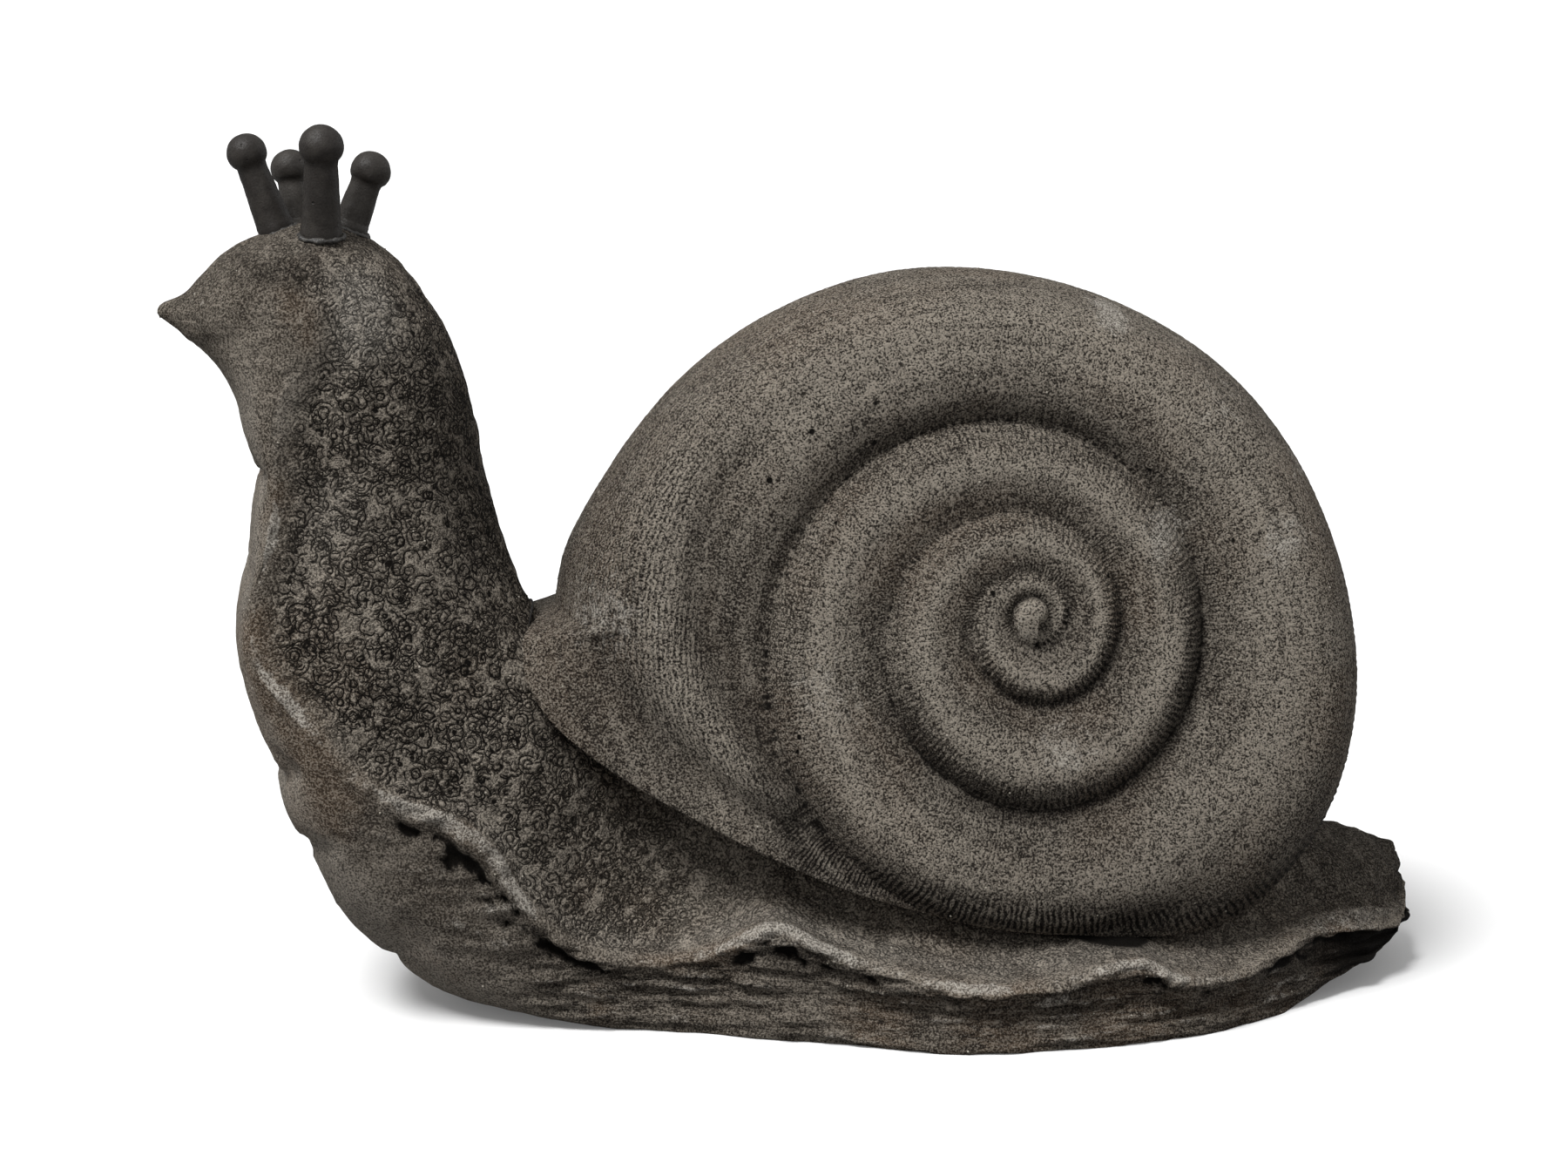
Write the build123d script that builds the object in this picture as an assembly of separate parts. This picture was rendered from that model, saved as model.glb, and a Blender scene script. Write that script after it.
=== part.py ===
from build123d import *
import math
import os

# Garden snail figurine of dark cast stone, solid, with four glued-in feelers.
# The head looks towards -X, the tail points towards +X and the flat sole lies on Z = 0.
# Y = 0 is the middle plane of the body and of the shell.

os.makedirs("parts", exist_ok=True)

# Overall sizes, millimetres
half_length = 200.5
crown_height = 246.4
foot_half_width = 86.5
frill_height = 22.0

# Shell
shell_radius = 110.0
eye_x = 55.5
eye_height = 120.0
pole_lead = 3.0
pole_lift = 11.0
face_half = 47.0
face_taper = 14.0
cone_rise = 15.0
cone_radius = 100.0
crest_rise = 9.5
knob_radius = 5.5
groove_radius = 37.0
groove_tip_radius = 10.0
shell_bed = 3.0

# Feelers
crown_radius = 11.8
long_feeler_reach = 26.8
short_feeler_reach = 18.8
long_ball_radius = 6.8
short_ball_radius = 6.2
long_root_radius = 5.9
short_root_radius = 4.9
long_tip_radius = 4.6
short_tip_radius = 4.1
socket_depth = 9.0
glue_gap = 0.6
glue_collar = 1.6
pin_radius = 1.5
pin_depth = 8.0

# Steel inside
bar_radius = 4.0
bar_cover = 30.0
dowel_radius = 5.0
dowel_depth = 26.0

# Room past a face when one solid is cut by another
overrun = 40.0


def control_run(points, before=None, after=None):
    # Points in a row become the control points of joined cubic curves through them.
    first = before or points[0] * 2 - points[1]
    last = after or points[-1] * 2 - points[-2]
    full = [first] + points + [last]
    controls = []
    for low, here, there, high in zip(full, full[1:], full[2:], full[3:]):
        controls += [here, here + (there - low) / 6, there - (high - here) / 6]
    return controls + [points[-1]]


def patch_faces(net):
    # Every four by four block of control points, sharing its edges, is one face.
    faces = []
    for row in range(0, len(net) - 1, 3):
        for column in range(0, len(net[0]) - 1, 3):
            block = [line[column:column + 4] for line in net[row:row + 4]]
            faces.append(Face.make_bezier_surface(block))
    return faces


def curve_edges(controls):
    return [Edge.make_bezier(*controls[i:i + 4]) for i in range(0, len(controls) - 1, 3)]


def transpose(net):
    return [list(line) for line in zip(*net)]


def mirrored(net):
    return [[Vector(p.X, -p.Y, p.Z) for p in line] for line in net]


def mix(low, high, share):
    return low + (high - low) * share


def ramp(value, start, stop):
    share = min(1, max(0, (value - start) / (stop - start)))
    return share * share * (3 - 2 * share)


# Body: hoops fanned along the foot, up the neck and over the head.
# Each half hoop runs from the sole over the frill to the back. Its three shares are
# of the half width, of the frill's height and of the depth left above the frill.
head_shares = ((0, 0, 0), (0.5, 0.14, 0), (0.8, 0.4, 0), (0.95, 0.7, 0), (1, 1, 0),
               (0.95, 1, 0.32), (0.8, 1, 0.64), (0.5, 1, 0.88), (0, 1, 1))
neck_shares = ((0, 0, 0), (0.55, 0.1, 0), (0.85, 0.4, 0), (0.97, 0.75, 0), (1, 1, 0),
               (0.98, 1, 0.15), (1.07, 1, 0.42), (0.8, 1, 0.8), (0, 1, 1))
belly_shares = ((0, 0, 0), (0.45, 0.06, 0), (0.8, 0.3, 0), (0.95, 0.64, 0), (1, 1, 0),
                (0.93, 1, 0.1), (0.9, 1, 0.32), (0.66, 1, 0.78), (0, 1, 1))
foot_shares = ((0, 0, 0), (0.55, 0, 0), (0.96, 0.06, 0), (0.94, 0.55, 0), (1, 1, 0),
               (0.86, 1, 0.07), (0.71, 1, 0.2), (0.5, 1, 0.72), (0, 1, 1))
hoop_shapes = (head_shares, neck_shares, belly_shares, foot_shares)

# One row for each hoop, tail to snout: sole X and Z, back X and Z, half width, frill
# height, and shape from 0 for the head to 3 for the foot. X is in shares of half_length,
# Z of crown_height, the half width of foot_half_width and the frill of frill_height.
hoop_shares = (
    (1.000, 0.088, 1.000, 0.110, 0.06, 0.15, 3.0),
    (0.990, 0.078, 0.990, 0.134, 0.15, 0.32, 3.0),
    (0.967, 0.066, 0.967, 0.153, 0.26, 0.42, 3.0),
    (0.928, 0.051, 0.928, 0.169, 0.39, 0.58, 3.0),
    (0.866, 0.034, 0.866, 0.181, 0.50, 0.88, 3.0),
    (0.790, 0.014, 0.790, 0.201, 0.59, 1.10, 3.0),
    (0.708, -0.008, 0.708, 0.229, 0.70, 1.08, 3.0),
    (0.629, -0.008, 0.629, 0.264, 0.82, 0.90, 3.0),
    (0.559, -0.008, 0.559, 0.284, 0.91, 0.88, 3.0),
    (0.495, -0.008, 0.495, 0.296, 0.95, 0.98, 3.0),
    (0.441, -0.008, 0.441, 0.304, 0.98, 1.22, 3.0),
    (0.371, -0.008, 0.371, 0.308, 0.99, 1.20, 3.0),
    (0.282, -0.008, 0.282, 0.312, 1.00, 1.06, 3.0),
    (0.168, -0.008, 0.168, 0.316, 0.98, 1.02, 3.0),
    (0.069, -0.008, 0.069, 0.316, 0.90, 1.18, 3.0),
    (-0.025, -0.008, -0.025, 0.316, 0.79, 1.42, 3.0),
    (-0.109, -0.008, -0.109, 0.320, 0.72, 1.72, 3.0),
    (-0.198, -0.008, -0.178, 0.325, 0.605, 1.32, 3.0),
    (-0.287, -0.008, -0.228, 0.341, 0.54, 1.12, 2.9),
    (-0.376, -0.007, -0.277, 0.361, 0.51, 1.20, 2.7),
    (-0.470, -0.001, -0.322, 0.390, 0.505, 1.45, 2.4),
    (-0.564, 0.014, -0.361, 0.426, 0.51, 1.95, 2.1),
    (-0.650, 0.053, -0.396, 0.467, 0.515, 2.36, 2.0),
    (-0.730, 0.116, -0.426, 0.499, 0.515, 2.20, 2.0),
    (-0.784, 0.192, -0.446, 0.521, 0.51, 1.64, 1.9),
    (-0.823, 0.261, -0.458, 0.540, 0.495, 1.23, 1.75),
    (-0.847, 0.329, -0.468, 0.560, 0.475, 0.86, 1.5),
    (-0.875, 0.398, -0.478, 0.584, 0.445, 0.55, 1.25),
    (-0.898, 0.467, -0.489, 0.615, 0.415, 0.27, 1.1),
    (-0.894, 0.532, -0.500, 0.647, 0.385, 0.18, 1.0),
    (-0.874, 0.601, -0.511, 0.682, 0.362, 0.18, 1.0),
    (-0.861, 0.662, -0.520, 0.720, 0.347, 0.20, 1.0),
    (-0.864, 0.714, -0.527, 0.759, 0.347, 0.26, 0.95),
    (-0.881, 0.767, -0.540, 0.804, 0.353, 0.45, 0.85),
    (-0.899, 0.804, -0.559, 0.852, 0.364, 0.80, 0.6),
    (-0.921, 0.832, -0.594, 0.905, 0.370, 1.20, 0.35),
    (-0.938, 0.848, -0.646, 0.960, 0.364, 1.40, 0.1),
    (-0.946, 0.854, -0.723, 0.998, 0.335, 1.25, 0.0),
    (-0.952, 0.858, -0.812, 0.998, 0.283, 0.95, 0.0),
    (-0.958, 0.861, -0.881, 0.976, 0.214, 0.70, 0.0),
    (-0.965, 0.866, -0.931, 0.943, 0.150, 0.46, 0.0),
    (-0.978, 0.876, -0.960, 0.919, 0.098, 0.28, 0.0),
    (-1.000, 0.890, -0.993, 0.907, 0.040, 0.10, 0.0),
)


def hoop_shape(kind):
    low = min(int(kind), len(hoop_shapes) - 2)
    pairs = zip(hoop_shapes[low], hoop_shapes[low + 1])
    return [[mix(a, b, kind - low) for a, b in zip(first, second)] for first, second in pairs]


def hoop(sole_x, sole_z, back_x, back_z, width, frill, kind):
    sole = Vector(sole_x * half_length, 0, sole_z * crown_height)
    back = Vector(back_x * half_length, 0, back_z * crown_height)
    rise = (back - sole).normalized()
    low = frill * frill_height
    high = (back - sole).length - low
    near = []
    for side, below, above in hoop_shape(kind):
        sideways = Vector(0, -side * width * foot_half_width, 0)
        near.append(sole + rise * (below * low + above * high) + sideways)
    far = [Vector(p.X, -p.Y, p.Z) for p in near[-2::-1]]
    return near + far


def make_body_form():
    hoops = []
    for row in hoop_shares:
        points = hoop(*row)
        hoops.append(control_run(points, points[-2], points[1]))
    net = transpose([control_run(line) for line in transpose(hoops)])
    ends = [Face(Wire(curve_edges(net[0]))), Face(Wire(curve_edges(net[-1])))]
    return Solid(Shell(patch_faces(net) + ends))


# Shell: a stepped spiral in relief on both sides of a wedge that thins upwards.
# Angles are in turns, anticlockwise from +X as seen from -Y.
columns = 24
first_turn = -2.25
last_start = 0.75
last_end = 1.75
outer_growth = 1.8
inner_growth = 2.6
quarter = 0.25
face_lean = 0.2
shoulder_share = 0.55
lip_shoulder_share = 0.8
lip_start = 1.39
lip_end = 1.58
blend = 0.15
# Radius of the rim in shares of shell_radius, column by column through the last turn
rim_shares = (1.02, 1.10, 1.14, 1.16, 1.165, 1.13, 1.08, 1.04, 1.016, 1.0, 0.985, 0.984,
              1.0, 1.03, 1.06, 1.10, 1.14, 1.155, 1.45, 1.55, 1.47, 1.34, 1.23, 1.155, 1.10)
# Each whorl from its inner groove outwards: shares of its width and of its crest
whorl_shares = ((0, 0), (0.2, 0.42), (0.45, 0.82), (0.7, 1), (0.89, 0.74), (1, 0))
last_whorl_shares = ((0, 0), (0.18, 0.42), (0.4, 0.78), (0.62, 0.95), (0.82, 1), (1, 0.97))
lip_shares = ((0, 0), (0.2, 0.55), (0.4, 0.78), (0.6, 0.5), (0.8, 0.22), (1, 0.3))
rim_rows = 4
crest_share = 0.2


def groove(turns):
    growth = outer_growth if turns > quarter else inner_growth
    return groove_radius * growth ** (turns - quarter)


def rim(turns):
    place = (turns - last_start) * columns
    index = min(len(rim_shares) - 1, max(0, round(place)))
    return rim_shares[index] * shell_radius


def shell_point(radius, turns, depth):
    # The spiral's eye drifts from the pole to the middle of the shell as the radius grows.
    drift = min(1, radius / (groove_radius * outer_growth ** (2 * quarter)))
    x = eye_x + pole_lead * (1 - drift) + radius * math.cos(2 * math.pi * turns)
    z = eye_height + pole_lift * (1 - drift) + radius * math.sin(2 * math.pi * turns)
    return Vector(x, -depth, z)


def face_depth(radius, turns):
    # Distance of the grooves from the middle plane: a face that leans in towards the top
    # and tapers towards the lip, with a low cone on it
    place = shell_point(radius, turns, 0)
    cone = cone_rise * (1 - min(cone_radius, max(radius, groove_tip_radius)) / cone_radius)
    front = max(0, eye_x - groove_tip_radius - place.X) / shell_radius
    return face_half + cone - face_lean * (place.Z - eye_height) - face_taper * front * front


def strip_edge(turns):
    # Outer edge of the spiral strip: the next groove, or the shoulder of the last whorl
    inner = groove(turns)
    shoulder = mix(inner, rim(turns), shoulder_share)
    lip = mix(inner, rim(turns), lip_shoulder_share)
    shoulder = mix(shoulder, lip, ramp(turns, lip_start, lip_end))
    return mix(groove(turns + 1), shoulder, ramp(turns, last_start, last_start + blend))


def strip_point(turns, row, last):
    inner = groove(turns)
    outer = strip_edge(turns) if last else groove(turns + 1)
    place, height = whorl_shares[row]
    crest = min(crest_rise, crest_share * (outer - inner))
    crest *= ramp(turns, first_turn, first_turn + 1)
    if last:
        turned = ramp(turns, last_start, last_start + blend)
        lipped = ramp(turns, lip_start, lip_end)
        place = mix(mix(place, last_whorl_shares[row][0], turned), lip_shares[row][0], lipped)
        height = mix(mix(height, last_whorl_shares[row][1], turned), lip_shares[row][1], lipped)
        crest = mix(crest, crest_rise, turned)
    radius = mix(inner, outer, place)
    return shell_point(radius, turns, face_depth(radius, turns) + crest * height)


def rim_point(turns, row):
    # From the shoulder a quarter ellipse falls to the rim on the middle plane.
    edge = strip_point(turns, len(whorl_shares) - 1, True)
    angle = math.pi / 2 * row / rim_rows
    radius = mix(strip_edge(turns), rim(turns), math.sin(angle))
    return shell_point(radius, turns, -edge.Y * math.cos(angle))


def shell_net(start, stop, last):
    lines = []
    count = round((stop - start) * columns)
    for step in range(-1, count + 2):
        turns = start + step / columns
        line = [strip_point(turns, row, last) for row in range(len(whorl_shares))]
        rim_line = [rim_point(turns, row) for row in range(rim_rows + 1)]
        strip_run = control_run(line)
        if last:
            past = Vector(rim_line[-2].X, -rim_line[-2].Y, rim_line[-2].Z)
            strip_run += control_run(rim_line, line[-2], past)[1:]
        lines.append(strip_run)
    runs = [control_run(run[1:-1], run[0], run[-1]) for run in transpose(lines)]
    return transpose(runs)


def make_shell_form():
    inner = shell_net(first_turn, last_start, False)
    outer = shell_net(last_start, last_end, True)
    faces = []
    for net in (inner, outer, mirrored(inner), mirrored(outer)):
        faces += patch_faces(net)
    # The small eye of the spiral, flat under its knob
    loop = [[line[0] for line in inner[:3 * columns + 1]], inner[0]]
    for runs in (loop, mirrored(loop)):
        faces.append(Face(Wire(curve_edges(runs[0]) + curve_edges(runs[1]))))
    # The step where the last turn ends under the first, later cut away by the seat
    step = [outer[0][len(inner[0]) - 1:], outer[-1]]
    edges = []
    for run in step + mirrored(step):
        edges += curve_edges(run)
    faces.append(Face(Wire(edges)))
    return Solid(Shell(faces))


# Seat of the shell on the body, seen from the side and the same right across: X and Z
# from the eye of the shell, in shares of shell_radius, from the notch behind the neck
# down along the lip, under the last whorl and up behind it.
seat_shares = ((-1.27, 0.4), (-1.29, 0.13), (-1.375, 0.0), (-1.33, -0.17), (-1.18, -0.315),
               (-0.93, -0.465), (-0.58, -0.635), (-0.2, -0.765), (0.2, -0.825),
               (0.54, -0.835), (0.75, -0.78), (0.92, -0.64), (1.1, -0.36))


def seat_line(offset):
    # The seat's points, moved square to the line by the offset
    points = [Vector(eye_x + x * shell_radius, 0, eye_height + z * shell_radius)
              for x, z in seat_shares]
    moved = []
    for i, point in enumerate(points):
        along = points[min(i + 1, len(points) - 1)] - points[max(i - 1, 0)]
        moved.append(point + Vector(-along.Z, 0, along.X).normalized() * offset)
    return moved


def above_seat(offset):
    # Everything above the seat, wider than the foot
    line = seat_line(offset)
    low = Vector(half_length + overrun, 0, line[-1].Z)
    high = Vector(low.X, 0, crown_height + overrun)
    corners = [line[-1], low, high, Vector(line[0].X, 0, high.Z), line[0]]
    edges = [Edge.make_spline(line)]
    edges += [Edge.make_line(a, b) for a, b in zip(corners, corners[1:])]
    depth = Vector(0, foot_half_width + overrun, 0)
    return Solid.extrude(Face(Wire(edges)).moved(Location(-depth)), depth * 2)


def rod(start, stop, radius):
    along = stop - start
    return Solid.make_cylinder(radius, along.length, Plane(start, z_dir=along))


def drawn_in(form, share):
    # A copy of a form, a little smaller about the middle of the seat
    middle = Location((eye_x, 0, eye_height - shell_radius))
    return middle * scale(middle.inverse() * form, share)


# Feelers: name, compass turn of the root on the crown, its share of crown_radius, lean
# outwards, share of the reach, and whether it is a long one
feelers = (("feeler_front", 180, 1, 19.5, 0.92, True), ("feeler_near", -85, 1.18, 10, 1, True),
           ("feeler_far", 110, 1.31, 13, 1, False), ("feeler_rear", 0, 0.86, 21, 1, False))
crown_share = -0.7626
crown_drop_share = 0.15
bed_share = 0.965
knob_sink_share = 0.25
bar_places = (-0.6, -0.74)
dowel_places = (6, 9)


def feeler_sizes(share, is_long):
    if is_long:
        return long_feeler_reach * share, long_ball_radius, long_root_radius, long_tip_radius
    return short_feeler_reach * share, short_ball_radius, short_root_radius, short_tip_radius


def feeler_plane(turn, spread, lean):
    # The root of a feeler: where it leaves the crown, with Z along its stalk
    across = Vector(math.cos(math.radians(turn)), math.sin(math.radians(turn)), 0)
    drop = crown_radius * spread * crown_drop_share
    crown = Vector(crown_share * half_length, 0, crown_height - drop)
    root = crown + across * crown_radius * spread
    upwards = Vector(0, 0, math.cos(math.radians(lean)))
    return Plane(root, z_dir=upwards + across * math.sin(math.radians(lean)))


def make_feeler(reach, ball, root, tip):
    neck = reach - math.sqrt(ball * ball - tip * tip)
    side = Vector(ball, 0, reach)
    lines = [(Vector(0, 0, -socket_depth), Vector(root, 0, -socket_depth)),
             (Vector(root, 0, -socket_depth), Vector(root, 0, 0)),
             (Vector(root, 0, 0), Vector(tip, 0, neck)),
             (Vector(0, 0, reach + ball), Vector(0, 0, -socket_depth))]
    edges = [Edge.make_line(a, b) for a, b in lines]
    top = Vector(0, 0, reach + ball)
    edges.append(Edge.make_three_point_arc(Vector(tip, 0, neck), side, top))
    whole = Solid.revolve(Face(Wire(edges)), 360, Axis.Z)
    return whole - make_pin(reach)


def make_pin(reach):
    return rod(Vector(0, 0, -socket_depth - pin_depth), Vector(0, 0, reach), pin_radius)


def make_socket(root):
    return rod(Vector(0, 0, -socket_depth), Vector(0, 0, overrun), root + glue_gap)


def make_glue(root):
    # A sleeve in the socket and a low collar that spreads on the crown
    sleeve = rod(Vector(0, 0, -socket_depth), Vector(0, 0, glue_collar / 2), root + glue_gap)
    wide = root + glue_gap + glue_collar
    collar = Solid.make_cone(wide, root, 2 * glue_collar, Plane(Vector(0, 0, -glue_collar)))
    return sleeve, collar


def save(solid, name):
    export_step(solid, "parts/" + name + ".step")


body_form = make_body_form()
shell_form = make_shell_form()
corner = Vector(-half_length - overrun, -foot_half_width - overrun, -overrun)
ground = Solid.make_box(-2 * corner.X, -2 * corner.Y, overrun, Plane(corner))
room_over_body = above_seat(0)
room_over_bed = above_seat(shell_bed)
body = body_form - room_over_body - ground
shell = shell_form & room_over_bed
bed = (room_over_body - room_over_bed) & drawn_in(body_form, bed_share)
bed = bed & drawn_in(shell_form, bed_share)

# A small knob on the eye of the spiral, on both sides
pole = shell_point(0, 0, face_depth(0, 0) - knob_radius * knob_sink_share)
for y in (pole.Y, -pole.Y):
    shell += Solid.make_sphere(knob_radius, Plane(Vector(pole.X, y, pole.Z)))

# Dowels from the body through the bed into the shell
for number, place in enumerate(dowel_places, 1):
    middle = seat_line(shell_bed / 2)[place]
    reach = Vector(0, 0, dowel_depth)
    dowel = rod(middle - reach, middle + reach, dowel_radius)
    body -= dowel
    shell -= dowel
    bed -= dowel
    save(dowel, "shell_dowel_" + str(number))

# A bar from the foot up the neck
foot_end, head_end = (place * half_length for place in bar_places)
bar = rod(Vector(foot_end, 0, bar_cover), Vector(head_end, 0, crown_height - bar_cover), bar_radius)
body -= bar
save(bar, "neck_bar")

# Feelers on their pins, glued into sockets in the crown
for name, turn, spread, lean, share, is_long in feelers:
    reach, ball, root, tip = feeler_sizes(share, is_long)
    place = feeler_plane(turn, spread, lean).location
    feeler = place * make_feeler(reach, ball, root, tip)
    pin = place * make_pin(reach)
    sleeve, collar = make_glue(root)
    glue = place * collar - body_form
    glue = glue + place * sleeve - feeler
    body -= place * make_socket(root)
    body -= pin
    save(feeler, name)
    save(pin, name + "_pin")
    save(glue - pin, name + "_glue")

save(body, "body")
save(shell, "shell")
save(bed, "mortar_bed")
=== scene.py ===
import math

import bmesh
import bpy
import numpy as np
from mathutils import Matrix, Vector


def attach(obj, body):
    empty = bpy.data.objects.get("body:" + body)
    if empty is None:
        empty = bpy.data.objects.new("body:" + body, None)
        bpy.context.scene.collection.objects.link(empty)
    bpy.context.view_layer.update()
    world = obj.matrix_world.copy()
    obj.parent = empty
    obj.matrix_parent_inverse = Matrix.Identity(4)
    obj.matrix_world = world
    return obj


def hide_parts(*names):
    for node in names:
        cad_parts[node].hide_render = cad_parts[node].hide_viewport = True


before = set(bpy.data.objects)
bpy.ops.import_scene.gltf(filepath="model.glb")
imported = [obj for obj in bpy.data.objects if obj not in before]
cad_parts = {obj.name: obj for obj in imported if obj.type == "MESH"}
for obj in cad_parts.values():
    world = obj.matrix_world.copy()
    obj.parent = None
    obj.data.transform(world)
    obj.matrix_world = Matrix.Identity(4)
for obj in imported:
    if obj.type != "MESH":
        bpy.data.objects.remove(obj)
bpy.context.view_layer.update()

mm = 0.001


# small tools shared by all pieces

def smooth(value, start, stop):
    share = np.clip((value - start) / (stop - start), 0, 1)
    return share * share * (3 - 2 * share)


def mix(low, high, share):
    return low + (high - low) * share


def bell(value, middle, width):
    return np.exp(-((value - middle) / width) ** 2)


def spots(first, second, table):
    # soft patches over two measures: the middle and width in each, then the amount
    return sum(row[4] * bell(first, *row[:2]) * bell(second, *row[2:4]) for row in table)


def splineThrough(points, places, before=None, after=None):
    # smooth curve through the rows of points, read at places counted in rows
    points = np.asarray(points, float)
    first = 2 * points[:1] - points[1:2] if before is None else before
    last = 2 * points[-1:] - points[-2:-1] if after is None else after
    full = np.concatenate([first, points, last])
    places = np.asarray(places, float)
    span = np.clip(np.floor(places).astype(int), 0, len(points) - 2)
    t = (places - span).reshape(places.shape + (1,) * (points.ndim - 1))
    a, b, c, d = (full[span + k] for k in range(4))
    return 0.5 * (2 * b + (c - a) * t + (2 * a - 5 * b + 4 * c - d) * t ** 2
                  + (3 * b - a - 3 * c + d) * t ** 3)


def gridNoise(points, seed):
    # soft noise from -1 to 1, one lump for each unit cell
    cell = np.floor(points).astype(np.int64)
    part = points - cell
    part = part * part * (3 - 2 * part)
    total = 0
    for corner in range(8):
        step = np.array([corner & 1, corner >> 1 & 1, corner >> 2])
        key = (cell + step) @ np.array([374761393, 668265263, 1440662683]) + seed * 974711
        key = (key ^ (key >> 13)) * 1274126177 & 0x7fffffffffff
        value = ((key ^ (key >> 16)) & 65535) / 32767.5 - 1
        total = total + value * np.prod(np.where(step, part, 1 - part), axis=-1)
    return total


def lumps(points, size, seed, layers=3):
    # several layers of noise, each half as big and half as high as the one before
    total, weight = 0, 1
    for layer in range(layers):
        total = total + weight * gridNoise(points / size * 2 ** layer + 31.7 * layer, seed + layer)
        weight /= 2
    return total


def gridNormals(grid):
    normal = np.cross(np.gradient(grid, axis=0), np.gradient(grid, axis=1))
    return normal / np.maximum(np.linalg.norm(normal, axis=-1, keepdims=True), 1e-9)


def gridFaces(index, turned=False):
    # four-sided faces between rows and columns of point numbers
    faces = np.stack([index[:-1, :-1], index[1:, :-1], index[1:, 1:], index[:-1, 1:]], -1).reshape(-1, 4)
    return faces[:, [0, 3, 2, 1]] if turned else faces


def closedIndex(rows, columns):
    # point numbers of a grid whose last column meets its first
    index = np.arange(rows * columns).reshape(rows, columns)
    return np.concatenate([index, index[:, :1]], 1)


def newPiece(name, points, faces, values=None):
    # points in millimetres; values holds one number for each point under its name
    mesh = bpy.data.meshes.new(name)
    mesh.from_pydata((np.asarray(points) * mm).tolist(), [], [list(map(int, face)) for face in faces])
    for key, numbers in (values or {}).items():
        mesh.attributes.new(key, "FLOAT", "POINT").data.foreach_set("value", np.asarray(numbers, np.float32))
    mesh.polygons.foreach_set("use_smooth", [True] * len(mesh.polygons))
    piece = bpy.data.objects.new(name, mesh)
    bpy.context.collection.objects.link(piece)
    return piece


def weld(piece, distance):
    work = bmesh.new()
    work.from_mesh(piece.data)
    bmesh.ops.remove_doubles(work, verts=work.verts, dist=distance * mm)
    bmesh.ops.dissolve_degenerate(work, edges=work.edges, dist=1e-7)
    bmesh.ops.recalc_face_normals(work, faces=work.faces)
    openEdges = sum(1 for edge in work.edges if not edge.is_manifold)
    print("  weld", piece.name, "open edges", openEdges, "faces", len(work.faces))
    work.to_mesh(piece.data)
    work.free()


def applyModifiers(piece):
    graph = bpy.context.evaluated_depsgraph_get()
    result = bpy.data.meshes.new_from_object(
        piece.evaluated_get(graph), preserve_all_data_layers=True, depsgraph=graph)
    piece.modifiers.clear()
    piece.data = result


# node tools: each adds one node to the tree of the sockets that it is given

def setInputs(node, values):
    for key, value in values.items():
        if isinstance(value, bpy.types.NodeSocket):
            node.id_data.links.new(value, node.inputs[key])
        else:
            node.inputs[key].default_value = value


def addNode(tree, kind, inputs=None, **settings):
    made = tree.nodes.new(kind)
    for key, value in settings.items():
        setattr(made, key, value)
    setInputs(made, inputs or {})
    return made


def treeOf(values):
    return next(value.id_data for value in values if isinstance(value, bpy.types.NodeSocket))


def calc(operation, *values, clamp=False):
    inputs = dict(enumerate(values))
    return addNode(treeOf(values), "ShaderNodeMath", inputs, operation=operation, use_clamp=clamp).outputs[0]


def times(first, second, plus=None, clamp=False):
    if plus is None:
        return calc("MULTIPLY", first, second, clamp=clamp)
    return calc("MULTIPLY_ADD", first, second, plus, clamp=clamp)


def highest(values):
    top = values[0]
    for value in values[1:]:
        top = calc("MAXIMUM", top, value)
    return top


def vectorCalc(operation, first, second):
    inputs = {0: first, 1: second}
    return addNode(first.id_data, "ShaderNodeVectorMath", inputs, operation=operation).outputs[0]


def fade(value, start, stop, low=0.0, high=1.0):
    inputs = {"Value": value, "From Min": start, "From Max": stop, "To Min": low, "To Max": high}
    made = addNode(value.id_data, "ShaderNodeMapRange", inputs, interpolation_type="SMOOTHSTEP")
    return made.outputs["Result"]


def blend(share, low, high):
    made = addNode(share.id_data, "ShaderNodeMix", {"Factor": share}, data_type="RGBA")
    for place, value in ((6, low), (7, high)):
        setInputs(made, {place: (*value, 1) if isinstance(value, tuple) else value})
    return made.outputs[2]


def noise(place, scale, detail, roughness=0.5, distortion=0.0):
    inputs = {"Vector": place, "Scale": scale, "Detail": detail, "Roughness": roughness,
              "Distortion": distortion}
    return addNode(place.id_data, "ShaderNodeTexNoise", inputs).outputs[0]


def newTree(name, kind, inputs, outputs):
    # a tree with named sockets: each input has its kind and default, each output its kind
    tree = bpy.data.node_groups.new(name, kind)
    for label, (socketKind, default) in inputs.items():
        socket = tree.interface.new_socket(label, in_out="INPUT", socket_type="NodeSocket" + socketKind)
        if default is not None:
            socket.default_value = default
    for label, socketKind in outputs.items():
        tree.interface.new_socket(label, in_out="OUTPUT", socket_type="NodeSocket" + socketKind)
    return tree, tree.nodes.new("NodeGroupInput").outputs, tree.nodes.new("NodeGroupOutput")


def useGroup(group, **inputs):
    return addNode(treeOf(inputs.values()), "ShaderNodeGroup", inputs, node_tree=group).outputs


print("stage: tools ready")


# shader groups, with sizes in millimetres

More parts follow.
